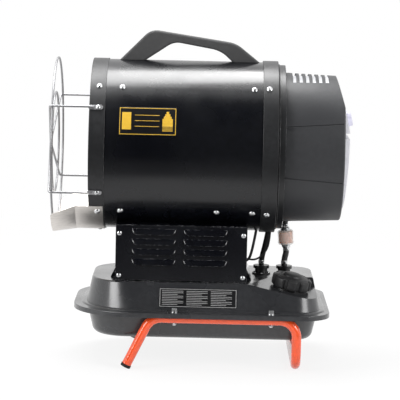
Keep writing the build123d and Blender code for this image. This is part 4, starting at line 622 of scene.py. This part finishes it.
def add_hood(form, middle_x, low_z, side):
    """Pressed hood: it leaves the plate at its top and ends in an open lip at its bottom."""
    face_y = side * BOX_HALF_WIDTH
    rows = []
    for layer in range(HOOD_LAYERS + 1):
        down = layer / HOOD_LAYERS
        row = []
        for step in range(HOOD_STEPS + 1):
            along = HOOD_LENGTH / 2 * sin(pi / 2 * (2 * step / HOOD_STEPS - 1))
            bulge = hood_bulge(along)
            depth = HOOD_DEPTH * bulge * sin(pi / 2 * down) ** HOOD_CURVE
            drop = HOOD_HEIGHT * (HOOD_CORNER + (1 - HOOD_CORNER) * bulge) * down
            row.append(Vector((middle_x + along, face_y + side * depth, low_z + HOOD_HEIGHT - drop)))
        rows.append(row)
    rings = grid_faces(form, rows, False)
    lip = [form.verts.new(vert.co - Vector((0, side * LIP, 0))) if abs(vert.co.y - face_y) > LIP_FROM
           else vert for vert in rings[-1]]
    for i in range(HOOD_STEPS):
        corners = [rings[-1][i], rings[-1][i + 1], lip[i + 1], lip[i]]
        unique = list(dict.fromkeys(corners))
        if len(unique) > 2:
            form.faces.new(unique)


def add_walls(form, corners, front, back):
    """Walls between a plate's two faces, round (x, z) corners."""
    for (ax, az), (bx, bz) in zip(corners, corners[1:] + corners[:1]):
        wall = ((ax, front, az), (bx, front, bz), (bx, back, bz), (ax, back, az))
        form.faces.new([form.verts.new(point) for point in wall])


def add_cover_plate(form, side):
    """Flat cover with a slot behind each hood and a shelf bent in at its top."""
    slots_x = [(middle - SLOT_HALF, middle + SLOT_HALF) for middle in HOOD_MIDDLES]
    hoods_z = [HOOD_TOP_ROW_Z - row * HOOD_PITCH for row in range(HOOD_ROWS)]
    slots_z = [(low + SLOT_LIFT, low + SLOT_SHARE * HOOD_HEIGHT) for low in hoods_z]
    lines_x = sorted([*COVER_X, *(x for pair in slots_x for x in pair)])
    lines_z = sorted([*COVER_Z, *(z for pair in slots_z for z in pair)])
    front, back = side * BOX_HALF_WIDTH, side * (BOX_HALF_WIDTH - COVER_SHEET)
    for x0, x1 in zip(lines_x, lines_x[1:]):
        for z0, z1 in zip(lines_z, lines_z[1:]):
            corners = rectangle(x0, x1, z0, z1)
            if (x0, x1) in slots_x and (z0, z1) in slots_z:
                add_walls(form, corners, front, back)
                continue
            for y in (front, back):
                form.faces.new([form.verts.new((x, y, z)) for x, z in corners])
    add_walls(form, rectangle(*COVER_X, *COVER_Z), front, back)
    shelf = rectangle(COVER_X[0] + COVER_SHEET + CLEARANCE, COVER_X[1] - COVER_SHEET - CLEARANCE,
                      side * (BOX_HALF_WIDTH - CLEARANCE), side * SHELF_INNER_Y)
    slab(form, shelf, COVER_SHEET, lambda x, y, h: Vector((x, y, COVER_Z[1] - SHELF_DROP - h)))


def build_side_covers():
    for side, node in ((-1, "side_cover_near"), (1, "side_cover_far")):
        form = bmesh.new()
        add_cover_plate(form, side)
        close_form(form)
        for middle in HOOD_MIDDLES:
            for row in range(HOOD_ROWS):
                before = set(form.faces)
                add_hood(form, middle, HOOD_TOP_ROW_Z - row * HOOD_PITCH, side)
                hood = [face for face in form.faces if face not in before]
                pressed = hood[:HOOD_LAYERS * HOOD_STEPS]
                for face in pressed:
                    face.normal_update()
                if sum(face.normal.y * side for face in pressed) < 0:
                    bmesh.ops.reverse_faces(form, faces=hood)
        add_form(node + "_louvred", form, BOX_PAINT, "cover_black", closed=False, replaces=(node,),
                 sharp=50.0)


# Filler cap: eight wide lugs round the skirt, a shallow dome and a knob in its middle
CAP_LUGS = 8
CAP_RADIUS = 33.0
CAP_SEAT = 3.3
CAP_POINTS = 192
GROOVE_FROM = 0.72
GROOVE_RISE = 0.2
GROOVE_CURVE = 0.8
CAP_PROFILE = (
    (0.72, 0.0, 0.0), (0.945, 0.0, 4.2), (0.985, 0.8, 4.8), (1.0, 2.2, 5.0), (1.0, 13.4, 5.0),
    (0.99, 15.0, 4.8), (0.965, 16.1, 4.2), (0.93, 16.8, 3.0), (0.89, 17.1, 1.6), (0.85, 17.2, 0.0),
    (0.83, 16.7, 0.0), (0.81, 16.7, 0.0), (0.79, 17.2, 0.0), (0.7, 17.8, 0.0), (0.6, 18.3, 0.0),
    (0.55, 18.4, 0.0), (0.535, 18.2, 0.0), (0.52, 18.2, 0.0), (0.5, 19.4, 0.0), (0.48, 20.8, 0.0),
    (0.45, 21.7, 0.0), (0.4, 22.3, 0.0), (0.3, 22.9, 0.0), (0.2, 23.2, 0.0), (0.1, 23.3, 0.0),
    (0.02, 23.35, 0.0),
)


def lug_groove(angle):
    """How deep the skirt is drawn in between two lugs."""
    wave = 0.5 - 0.5 * cos(CAP_LUGS * angle)
    return max(0.0, min(1.0, (wave - GROOVE_FROM) / GROOVE_RISE)) ** GROOVE_CURVE


def build_fuel_cap():
    joint = joints["cap_turn"]
    seat = seat_matrix(Vector(joint["pos_m"]) / MM, joint["axis"]) @ Matrix.Translation((0, 0, CAP_SEAT))
    form = bmesh.new()
    profile = [(CAP_RADIUS * share, height, lug) for share, height, lug in CAP_PROFILE]
    turned(form, profile, seat, CAP_POINTS, lug_groove)
    add_form("fuel_cap_ribbed", form, CAP_PLASTIC, "cap_plastic", body="cap", replaces=("fuel_cap",),
             sharp=30.0)


# Plain plates in the places of the labels: no words and no signs
PLATE_LIFT = 0.05
PLATE_SHEET = 0.35
PRINT_SHEET = 0.12
BENT_CUTS = 6
DRUM_PLATE_X = (-133.0, -39.0)
DRUM_PLATE_ANGLES = (11.0, 30.0)
DRUM_PLATE_CUTS = 12
DRUM_FRAME_INSET = 1.0
DRUM_FRAME_WIDTH = 1.1
BLOCK_X = (5.0, 20.0)
BLOCK_INSET = 9.0
TAPER_MIDDLE = 14.5
TAPER_HALF = 8.5
TAPER_INSET = 7.0
TAPER_STEPS = 8
DRUM_RULE_SHARES = (0.3, 0.5, 0.7)
DRUM_RULE_ENDS = (26.0, 28.0)
DRUM_RULE_WIDTH = 0.9

# Sloped near side of the tank's upper half, and the plate on it
TANK_SIDE_Y = 126.0
TANK_SEAM_Z = 93.5
TANK_SIDE_RAKE = 21.0
TANK_SIDE_RISE = 46.5
TANK_PLATE_X = (-62.0, 67.0)
TANK_PLATE_UP = (8.5, 41.5)
TANK_FRAME_INSET = 1.2
TANK_FRAME_WIDTH = 0.7
TEXT_COLUMNS = 3
TEXT_EDGES = (5.0, 3.0)
TEXT_GAP = 4.0
TEXT_ROWS = 9
TEXT_FOOT = 4.5
TEXT_PITCH = 2.9
TEXT_WIDTH = 0.7
LINE_SHARES = (0.7, 0.96, 0.96)


def on_drum(x, arc, rise):
    """Point on the drum's near side: arc is a length up from the horizontal."""
    angle = arc / DRUM_RADIUS
    reach = DRUM_RADIUS + rise
    return Vector((x, -reach * cos(angle), AXIS_Z + reach * sin(angle)))


def on_tank(x, up, rise):
    """Point on the sloped near side of the tank: up runs from its foot towards its top edge."""
    slope = Vector((0, TANK_SIDE_RAKE, TANK_SIDE_RISE)).normalized()
    out = Vector((0, -slope.z, slope.y))
    return Vector((x, -TANK_SIDE_Y, TANK_SEAM_Z)) + slope * up + out * rise


def strip_block(form, x0, x1, low, high, place, base, depth, cuts):
    """Bent rectangle between two lengths and two heights, in cuts that follow a curved face."""
    for i in range(cuts):
        corners = rectangle(x0, x1, *(low + (high - low) * step / cuts for step in (i, i + 1)))
        lower = [form.verts.new(place(x, y, base)) for x, y in corners]
        upper = [form.verts.new(place(x, y, base + depth)) for x, y in corners]
        close_ends(form, (lower, upper))
        for k in range(4):
            if (k == 0 and i > 0) or (k == 2 and i < cuts - 1):
                continue
            j = (k + 1) % 4
            form.faces.new((lower[k], lower[j], upper[j], upper[k]))


def add_plate(name, edges, place, cuts):
    form = bmesh.new()
    strip_block(form, *edges, place, PLATE_LIFT, PLATE_SHEET, cuts)
    add_form(name, form, PLATE_BLACK, "drum_black")


def add_prints(form, place, strips, cuts=1):
    """Thin print on a plate, each strip from one length to another and one height to another."""
    for strip in strips:
        strip_block(form, *strip, place, PLATE_LIFT + PLATE_SHEET, PRINT_SHEET, cuts)


def add_frame(form, place, edges, inset, width):
    x0, x1, low, high = edges[0] + inset, edges[1] - inset, edges[2] + inset, edges[3] - inset
    add_prints(form, place, [(x0, x1, low, low + width), (x0, x1, high - width, high)])
    uprights = [(start, start + width, low + width, high - width) for start in (x0, x1 - width)]
    add_prints(form, place, uprights, BENT_CUTS)


def build_drum_plate():
    low, high = (radians(angle) * DRUM_RADIUS for angle in DRUM_PLATE_ANGLES)
    x0, x1 = DRUM_PLATE_X
    add_plate("drum_plate", (x0, x1, low, high), on_drum, DRUM_PLATE_CUTS)
    form = bmesh.new()
    add_frame(form, on_drum, (x0, x1, low, high), DRUM_FRAME_INSET, DRUM_FRAME_WIDTH)
    block = (x0 + BLOCK_X[0], x0 + BLOCK_X[1], low + BLOCK_INSET, high - BLOCK_INSET)
    add_prints(form, on_drum, [block], BENT_CUTS)
    foot, rise = low + TAPER_INSET, (high - low - 2 * TAPER_INSET) / TAPER_STEPS
    for i in range(TAPER_STEPS):
        half = TAPER_HALF * min(1.0, 2.0 * (1.0 - i / TAPER_STEPS))
        middle = x1 - TAPER_MIDDLE
        add_prints(form, on_drum, [(middle - half, middle + half, foot + rise * i, foot + rise * (i + 1))])
    rules = [low + (high - low) * share for share in DRUM_RULE_SHARES]
    add_prints(form, on_drum, [(x0 + DRUM_RULE_ENDS[0], x1 - DRUM_RULE_ENDS[1], rule, rule + DRUM_RULE_WIDTH)
                               for rule in rules])
    add_form("drum_plate_print", form, OCHRE_PRINT, "brass_part")


def build_tank_plate():
    edges = (*TANK_PLATE_X, *TANK_PLATE_UP)
    add_plate("tank_plate", edges, on_tank, 1)
    form = bmesh.new()
    add_frame(form, on_tank, edges, TANK_FRAME_INSET, TANK_FRAME_WIDTH)
    pitch = (edges[1] - edges[0] - sum(TEXT_EDGES)) / TEXT_COLUMNS
    for column in range(TEXT_COLUMNS):
        left = edges[0] + TEXT_EDGES[0] + column * pitch
        for row in range(TEXT_ROWS):
            rule = edges[2] + TEXT_FOOT + row * TEXT_PITCH
            length = (pitch - TEXT_GAP) * LINE_SHARES[row % 3]
            add_prints(form, on_tank, [(left, left + length, rule, rule + TEXT_WIDTH)])
    add_form("tank_plate_print", form, PALE_PRINT, "grille_plastic")


# Raised step pressed round the foot of the tank's upper body
TANK_FRONT_X = -206.5
TANK_REAR_X = 221.5
RIM_TOP_Z = 95.9
BODY_FRONT_X = TANK_FRONT_X + 20.5
BODY_REAR_X = TANK_REAR_X - 15.0
BODY_FRONT_ROUND = 85.0
BODY_REAR_ROUND = 42.0
STEP_WIDTH = 7.5
STEP_HEIGHT = 1.7
STEP_SLOPE = 1.6
STEP_ROUND = 0.5
STEP_EDGE = 0.2
STEP_SUNK = 0.3
STEP_INNER = -2.5
CORNER_TURNS = 16


def body_outline(offset):
    """Outline of the tank's upper body at its foot, moved outwards by an offset."""
    half = TANK_SIDE_Y + offset
    front, rear = BODY_FRONT_X - offset, BODY_REAR_X + offset
    points = []
    corners = ((rear, -half, BODY_REAR_ROUND, -90), (rear, half, BODY_REAR_ROUND, 0),
               (front, half, BODY_FRONT_ROUND, 90), (front, -half, BODY_FRONT_ROUND, 180))
    for x, y, inner_round, start in corners:
        reach = inner_round + offset
        middle = Vector((x - reach if x > 0 else x + reach, y - reach if y > 0 else y + reach))
        for step in range(CORNER_TURNS + 1):
            angle = radians(start + 90 * step / CORNER_TURNS)
            points.append(middle + reach * Vector((cos(angle), sin(angle))))
    return points


def build_tank_step():
    outer, shoulder, top = STEP_WIDTH, STEP_WIDTH - STEP_SLOPE, RIM_TOP_Z + STEP_HEIGHT
    profile = ((outer, RIM_TOP_Z - STEP_SUNK), (outer, RIM_TOP_Z + STEP_EDGE), (shoulder, top - STEP_EDGE),
               (shoulder - STEP_ROUND, top), (STEP_INNER, top), (STEP_INNER, RIM_TOP_Z - STEP_SUNK))
    rows = [[Vector((point.x, point.y, z)) for point in body_outline(offset)] for offset, z in profile]
    form = bmesh.new()
    grid_faces(form, rows + rows[:1], True)
    add_form("tank_step", form, TANK_PAINT, "tank_grey", sharp=40.0)


# Fuel filter: a clear bowl between zinc collars, with a pleated element inside it
FILTER_BOTTOM = Vector((150.5, 12.0, 192.0))
FILTER_LEAN = radians(4.0)
FILTER_UP = Vector((-sin(FILTER_LEAN), 0, cos(FILTER_LEAN)))
FILTER_LENGTH = 25.0
FILTER_RADIUS = 13.9
FILTER_BORE = 4.0
BOWL_POINTS = 64
BOWL_OUTER = ((0.82, 0.0), (0.9, 0.5), (0.93, 1.6), (0.94, 3.0), (1.0, 3.4), (1.0, 5.0), (0.95, 5.4),
              (0.97, 21.0), (0.94, 23.2), (0.84, 24.8))
BOWL_INNER = ((0.8, 23.6), (0.88, 22.0), (0.87, 3.0), (0.8, 1.4))
BOWL_WALL = 1.2
PLEATS = 22
PLEAT_POINTS = 132
PLEAT_DEPTH = 2.6
PLEAT_ENDS = (3.5, 20.6)
ELEMENT_RADIUS = 0.83 * FILTER_RADIUS
ELEMENT_BORE = 0.6 * ELEMENT_RADIUS
ELEMENT_CAPS = ((2.4, 3.4), (21.8, 20.7))
COLLAR_PROFILE = ((3.6, -1.0), (8.4, -1.0), (8.4, 1.2), (7.4, 1.8), (7.2, 4.2), (6.6, 5.0), (4.8, 5.2),
                  (4.6, 9.0))
COLLAR_POINTS = 40


def filter_seat(height=0.0):
    return seat_matrix(FILTER_BOTTOM + FILTER_UP * height, FILTER_UP)


def pleat(angle):
    return abs((PLEATS * angle / (2 * pi)) % 1.0 - 0.5) * 2.0


def build_filter():
    seat = filter_seat()
    form = bmesh.new()
    outer, inner = ([(FILTER_RADIUS * share, height) for share, height in rows]
                    for rows in (BOWL_OUTER, BOWL_INNER))
    turned_ring(form, [(FILTER_BORE, 0.0), *outer, (FILTER_BORE, FILTER_LENGTH),
                       (FILTER_BORE, FILTER_LENGTH - BOWL_WALL), *inner, (FILTER_BORE, BOWL_WALL)],
                seat, BOWL_POINTS)
    add_form("filter_bowl_clear", form, CLEAR_BOWL, "filter_clear", replaces=("filter_bowl",))
    form = bmesh.new()
    for edge, face in ELEMENT_CAPS:
        profile = [(ELEMENT_BORE, edge), (ELEMENT_RADIUS, edge), (ELEMENT_RADIUS, face)]
        turned(form, profile, seat, PLEAT_POINTS)
    turned(form, [(ELEMENT_RADIUS, height, PLEAT_DEPTH) for height in PLEAT_ENDS], seat, PLEAT_POINTS, pleat)
    add_form("filter_pleats", form, FILTER_PAPER, "filter_paper", replaces=("filter_element",), sharp=20.0)
    form = bmesh.new()
    for end, way in ((0.0, -1.0), (FILTER_LENGTH, 1.0)):
        profile = [(radius, way * height) for radius, height in COLLAR_PROFILE]
        turned(form, profile, filter_seat(end), COLLAR_POINTS)
    add_form("filter_collars", form, ZINC, "bright_zinc")


# Hoses and leads: smooth tubes along the solids' routes
OUTLET_SEAT = Vector((148.3, 15.0, 155.0))
RETURN_SEAT = Vector((109.3, 15.0, 155.0))
HOSE_START = Vector((0, 0, 12))
SUPPLY_ROUTE = (OUTLET_SEAT, OUTLET_SEAT + HOSE_START, FILTER_BOTTOM - FILTER_UP * 14,
                FILTER_BOTTOM - FILTER_UP * 4)
RETURN_ROUTE = (RETURN_SEAT, RETURN_SEAT + HOSE_START, RETURN_SEAT + Vector((6, -4, 36)), (121.0, 6.0, 224.0))
CABLE_ROUTE = ((122.5, -10, 222), (122.0, -12, 206), (117.5, -14, 184), (101.0, -12, 167), (82.0, -8, 168),
               (72.0, -6, 169))
LEAD_ROUTE = ((99.0, -22, 226), (97.0, -22, 212), (91.0, -20, 180), (86.0, -19, 167), (74.0, -19, 163))
BRAID_TWIST = 9
BRAID_PITCH = 1.5
BRAID_LIFT = 0.22
BRAID_GAP = 0.5
PLAIN_GAP = 1.2


def smooth_path(points):
    """Points of a smooth line through the bends of a route."""
    data = bpy.data.curves.new("route", "CURVE")
    data.dimensions = "3D"
    data.resolution_u = 14
    spline = data.splines.new("NURBS")
    spline.points.add(len(points) - 1)
    for spot, point in zip(spline.points, points):
        spot.co = (*point, 1.0)
    spline.order_u = 3
    spline.use_endpoint_u = True
    holder = bpy.data.objects.new("route", data)
    line = bpy.data.meshes.new_from_object(holder)
    path = [vert.co.copy() for vert in line.vertices]
    bpy.data.objects.remove(holder)
    return path


def spaced(path, gap):
    """The same line with points at an even gap."""
    lengths = [0.0]
    for a, b in zip(path, path[1:]):
        lengths.append(lengths[-1] + (b - a).length)
    count = max(2, round(lengths[-1] / gap))
    spots = []
    i = 0
    for step in range(count + 1):
        at = lengths[-1] * step / count
        while i < len(path) - 2 and lengths[i + 1] < at:
            i += 1
        share = (at - lengths[i]) / (lengths[i + 1] - lengths[i])
        spots.append(path[i].lerp(path[i + 1], min(1.0, share)))
    return spots


def tube_form(form, route, radius, points, braided):
    """Closed tube along a route; a braid lifts two crossing sets of strands from its skin."""
    path = spaced(smooth_path(route), BRAID_GAP if braided else PLAIN_GAP)
    rows = []
    side = Vector((0, 1, 0))
    run = 0.0
    for i, spot in enumerate(path):
        ahead = (path[min(i + 1, len(path) - 1)] - path[max(i - 1, 0)]).normalized()
        side = (side - ahead * side.dot(ahead)).normalized()
        up = ahead.cross(side)
        run += (spot - path[i - 1]).length if i else 0.0
        row = []
        for k in range(points):
            angle = 2 * pi * k / points
            lift = 0.0
            if braided:
                lift = BRAID_LIFT * max(sin(BRAID_TWIST * angle + way * run * BRAID_PITCH) for way in (1, -1))
            row.append(spot + (side * cos(angle) + up * sin(angle)) * (radius + lift))
        rows.append(row)
    close_ends(form, grid_faces(form, rows, True))


def build_hoses():
    for name, route, radius, points, finish, slot, node in (
            ("supply_hose_braided", SUPPLY_ROUTE, 4.9, 90, HOSE_RUBBER, "hose_grey", "supply_hose"),
            ("return_hose_smooth", RETURN_ROUTE, 4.5, 28, RUBBER, "hose_grey", "return_hose"),
            ("wiring_cable_smooth", CABLE_ROUTE, 1.6, 16, CABLE_SHEATH, "cable_black", "wiring_cable"),
            ("sensor_lead_smooth", LEAD_ROUTE, 2.3, 16, CABLE_SHEATH, "cable_black", "sensor_lead")):
        form = bmesh.new()
        tube_form(form, route, radius, points, name.endswith("braided"))
        add_form(name, form, finish, slot, replaces=(node,), sharp=60.0)


# Worm drive clamps: a ribbed band, a worm and the housing over it
CLAMP_WIDTH = 6.0
CLAMP_SHEET = 0.7
CLAMP_LIFT = Vector((0, 0, 3))
BAND_ROWS = ((0.0, 0.3), (0.1, 1.0), (-0.15, 1.6), (-0.15, 4.4), (0.1, 5.0), (0.0, 5.7))
WORM_PROFILE = ((1.6, 0.0), (1.8, 0.4), (1.8, 5.2), (1.5, 5.5), (1.5, 6.4))
WORM_START = -3.2
WORM_OUT = 1.5
HOUSING_HALF = 2.6
HOUSING_REACH = (-2.8, 0.2)
HOUSING_LENGTH = 4.2
HOUSING_START = 0.9
CLAMP_POINTS = 40
WORM_POINTS = 18


def build_clamps():
    form = bmesh.new()
    for origin, axis, inner in (
            (OUTLET_SEAT + CLAMP_LIFT, (0, 0, 1), 5.1), (RETURN_SEAT + CLAMP_LIFT, (0, 0, 1), 4.6),
            (FILTER_BOTTOM - FILTER_UP * 10.5, FILTER_UP, 5.1),
            (FILTER_BOTTOM + FILTER_UP * (FILTER_LENGTH + 4.5), FILTER_UP, 4.6)):
        seat = seat_matrix(origin, axis)
        outer = inner + CLAMP_SHEET
        band = [(outer + rise, height) for rise, height in BAND_ROWS]
        turned_ring(form, [(inner, 0.0), *band, (inner, CLAMP_WIDTH)], seat, CLAMP_POINTS)
        worm = Matrix.Translation((WORM_START, -outer - WORM_OUT, CLAMP_WIDTH / 2))
        turned(form, WORM_PROFILE, seat @ worm @ Matrix.Rotation(pi / 2, 4, "Y"), WORM_POINTS)
        house = rectangle(-HOUSING_HALF, HOUSING_HALF, *(reach - outer for reach in HOUSING_REACH))
        slab(form, house, HOUSING_LENGTH, lambda x, y, h, seat=seat: seat @ Vector((x, y, h + HOUSING_START)))
    add_form("worm_clamps", form, ZINC, "bright_zinc", replaces=("hose_clamps",))


# Pale sheet under the rear cover's top vents: painted highlight, its pale colour stands in for the light seen
# through the vents
HIGHLIGHT_SHEET_X = (150.0, 223.0)
HIGHLIGHT_SHEET_RADIUS = 121.2
HIGHLIGHT_SHEET_HALF_ANGLE = radians(29.0)
HIGHLIGHT_SHEET_THICKNESS = 0.6
HIGHLIGHT_SHEET_HALF_STEPS = 12


def build_vent_highlight_sheet():
    angles = [HIGHLIGHT_SHEET_HALF_ANGLE * step / HIGHLIGHT_SHEET_HALF_STEPS
              for step in range(-HIGHLIGHT_SHEET_HALF_STEPS, HIGHLIGHT_SHEET_HALF_STEPS + 1)]
    edges = rectangle(*HIGHLIGHT_SHEET_X, HIGHLIGHT_SHEET_RADIUS, HIGHLIGHT_SHEET_RADIUS - HIGHLIGHT_SHEET_THICKNESS)
    rows = [[Vector((x, radius * sin(angle), AXIS_Z + radius * cos(angle))) for angle in angles]
            for x, radius in edges]
    form = bmesh.new()
    rings = grid_faces(form, rows + rows[:1], False)
    for end in (0, -1):
        form.faces.new([ring[end] for ring in rings[:len(edges)]])
    add_form("vent_highlight_sheet", form, VENT_HIGHLIGHT_FINISH, "grille_plastic")


# Thermostat knob with a gripped skirt, its dial ticks and a frame round the switch
KNOB_PROFILE = (
    (3.0, -4.5, 0.0), (3.0, 0.2, 0.0), (13.6, 0.2, 0.0), (13.6, 1.6, 0.0), (12.7, 1.9, 0.4),
    (12.6, 6.6, 0.45), (12.1, 7.6, 0.25), (11.2, 8.0, 0.0), (9.6, 8.0, 0.0), (9.2, 7.6, 0.0), (1.0, 7.5, 0.0),
)
KNOB_GRIPS = 24
KNOB_POINTS = 144
POINTER_HALF = 0.8
POINTER_REACH = (2.5, 11.4)
POINTER_SHEET = 0.5
POINTER_BASE = 7.45
DIAL_RADIUS = 17.0
DIAL_TICKS = 11
DIAL_SWEEP = radians(270.0)
TICK_HALF = 0.3
TICK_SHEET = 0.15
LONG_TICK = 3.0
SHORT_TICK = 1.8
LONG_TICK_EVERY = 5
MARKS_SUNK = -0.3
SWITCH_FRAME_Y = 52.0
SWITCH_FRAME_HALF_Y = 24.2
SWITCH_FRAME_HALF_Z = 12.2
SWITCH_FRAME_WIDTH = 1.4
SWITCH_FRAME_SHEET = 0.7


def panel_seat(y=0.0, lift=0.0):
    joint = joints["knob_turn"]
    out = Vector(joint["axis"]).normalized()
    return seat_matrix(Vector(joint["pos_m"]) / MM + Vector((0, y, 0)) + out * lift, out, (0, 1, 0))


def grip(angle):
    return 0.5 - 0.5 * cos(KNOB_GRIPS * angle)


def panel_slab(form, seat, outline, depth, base=0.0):
    """Flat mark on the panel, from an outline whose second number runs across the panel."""
    slab(form, outline, depth, lambda x, y, h: seat @ Vector((y, x, base + h)))


def build_knob():
    seat = panel_seat()
    form = bmesh.new()
    turned(form, KNOB_PROFILE, seat, KNOB_POINTS, grip)
    add_form("knob_gripped", form, KNOB_PLASTIC, "knob_plastic", body="knob", replaces=("thermostat_knob",),
             sharp=30.0)
    form = bmesh.new()
    pointer = rectangle(-POINTER_HALF, POINTER_HALF, *POINTER_REACH)
    panel_slab(form, seat, pointer, POINTER_SHEET, POINTER_BASE)
    add_form("knob_pointer", form, BLACK_PLASTIC_AND_SHADE, "switch_plastic", body="knob")


def build_panel_marks():
    seat = panel_seat(lift=MARKS_SUNK)
    form = bmesh.new()
    for tick in range(DIAL_TICKS):
        turn = Matrix.Rotation(DIAL_SWEEP * (tick / (DIAL_TICKS - 1) - 0.5), 4, "Z")
        length = SHORT_TICK if tick % LONG_TICK_EVERY else LONG_TICK
        mark = rectangle(-TICK_HALF, TICK_HALF, DIAL_RADIUS, DIAL_RADIUS + length)
        panel_slab(form, seat @ turn, mark, TICK_SHEET)
    seat = panel_seat(SWITCH_FRAME_Y, MARKS_SUNK)
    half_y, half_z, width = SWITCH_FRAME_HALF_Y, SWITCH_FRAME_HALF_Z, SWITCH_FRAME_WIDTH
    for z in (half_z - width, -half_z):
        panel_slab(form, seat, rectangle(z, z + width, -half_y, half_y), SWITCH_FRAME_SHEET)
    for y in (-half_y, half_y - width):
        panel_slab(form, seat, rectangle(width - half_z, half_z - width, y, y + width), SWITCH_FRAME_SHEET)
    add_form("panel_marks", form, BLACK_PLASTIC_AND_SHADE, "switch_plastic")


# Stage: pale floor, soft boxes and a plain studio surround
FLOOR_HALF = 7.0
FLOOR_GLOW = 0.9
FLOOR_DARK = 0.02
DARK_FROM = (0.42, 0.62)
DARK_SIDE = (0.45, 0.8)
SWEEP_FADE = (0.6, 1.8)
SWEEP_NEAR = 0.86
STUDIO_LOW = (0.93, 0.995)
STUDIO_DARK = 0.985
PLAIN_LIGHT = 0.42
GLOSS_RAYS = ("Is Glossy Ray", "Is Transmission Ray")
STUDIO_MIDDLE = (0.0, 0.0, 0.3)
SOFT_BOXES = (
    ("overhead_box", (-0.35, 0.4, 2.3), (2.0, 0.8), 62.0),
    ("left_box", (-2.2, -1.7, 1.4), (1.1, 1.7), 48.0),
    ("right_box", (2.2, -1.7, 1.4), (1.1, 1.7), 42.0),
)


def ray_mask(tree, *kinds):
    path = new_node(tree, "ShaderNodeLightPath")
    mask = path.outputs[kinds[0]]
    for kind in kinds[1:]:
        mask = math_node(tree, "MAXIMUM", mask, path.outputs[kind])
    return mask


def towards_camera(tree, y, length):
    """How far a direction points to the camera's side: 1 straight at it."""
    return times(tree, math_node(tree, "DIVIDE", y, length), -1.0)


def build_floor():
    mesh = bpy.data.meshes.new("floor")
    corners = rectangle(-FLOOR_HALF, FLOOR_HALF, -FLOOR_HALF, FLOOR_HALF)
    mesh.from_pydata([(x, y, 0) for x, y in corners], [], [(0, 1, 2, 3)])
    floor = new_object("floor", mesh)
    material, tree = new_material("floor_sweep", {
        "Base Color": (0.8, 0.8, 0.8, 1), "Roughness": 0.9, "Specular IOR Level": 0.0})
    spot = object_spot(tree)
    distance = new_node(tree, "ShaderNodeVectorMath", {0: spot}, operation="LENGTH").outputs["Value"]
    y = new_node(tree, "ShaderNodeSeparateXYZ", {0: spot}).outputs[1]
    dark = times(tree, ramp_node(tree, towards_camera(tree, y, distance), *DARK_SIDE),
                 ramp_node(tree, distance, *DARK_FROM))
    lit = math_node(tree, "SUBTRACT", FLOOR_GLOW, times(tree, dark, FLOOR_GLOW - FLOOR_DARK))
    strength = math_node(tree, "MAXIMUM", ray_mask(tree, "Is Camera Ray"), lit)
    glow = new_node(tree, "ShaderNodeEmission", {"Color": (1, 1, 1, 1), "Strength": strength})
    shown = times(tree, ray_mask(tree, "Is Camera Ray", *GLOSS_RAYS),
                  ramp_node(tree, distance, *SWEEP_FADE, SWEEP_NEAR, 1.0))
    matt = tree.nodes["Principled BSDF"].outputs[0]
    mix = new_node(tree, "ShaderNodeMixShader", {0: shown, 1: matt, 2: glow.outputs[0]})
    tree.links.new(mix.outputs[0], tree.nodes["Material Output"].inputs["Surface"])
    mesh.materials.append(material)


def build_world():
    """White behind the heater; for gloss, a dark studio on the camera's side of it."""
    world = bpy.data.worlds.new("studio")
    world.use_nodes = True
    bpy.context.scene.world = world
    tree = world.node_tree
    generated = new_node(tree, "ShaderNodeTexCoord").outputs["Generated"]
    x, y, z = new_node(tree, "ShaderNodeSeparateXYZ", {0: generated}).outputs
    squares = [times(tree, value, value) for value in (x, y)]
    across = math_node(tree, "SQRT", math_node(tree, "ADD", *squares))
    dark = times(tree, ramp_node(tree, towards_camera(tree, y, across), *DARK_SIDE),
                 ramp_node(tree, z, *STUDIO_LOW, 1.0, 0.0))
    studio = math_node(tree, "SUBTRACT", 1.0, times(tree, dark, STUDIO_DARK))
    gloss = ray_mask(tree, *GLOSS_RAYS)
    shine = times(tree, gloss, studio)
    plain = times(tree, math_node(tree, "SUBTRACT", 1.0, gloss), PLAIN_LIGHT)
    lit = math_node(tree, "ADD", shine, plain)
    strength = math_node(tree, "MAXIMUM", lit, ray_mask(tree, "Is Camera Ray"))
    background = tree.nodes["Background"].inputs
    background["Color"].default_value = (1, 1, 1, 1)
    tree.links.new(strength, background["Strength"])


def light_studio():
    for name, place, size, power in SOFT_BOXES:
        data = bpy.data.lights.new(name, "AREA")
        data.shape = "RECTANGLE"
        data.size, data.size_y = size
        data.energy = power
        lamp = new_object(name, data)
        turn = (Vector(STUDIO_MIDDLE) - Vector(place)).to_track_quat("-Z", "Y").to_matrix().to_4x4()
        lamp.matrix_world = Matrix.Translation(place) @ turn


bpy.context.scene.view_settings.view_transform = "Standard"
place_camera()
build_floor()
build_world()
light_studio()
build_screws()
build_side_covers()
build_fuel_cap()
build_drum_plate()
build_tank_plate()
build_tank_step()
build_filter()
build_hoses()
build_clamps()
build_vent_highlight_sheet()
build_knob()
build_panel_marks()
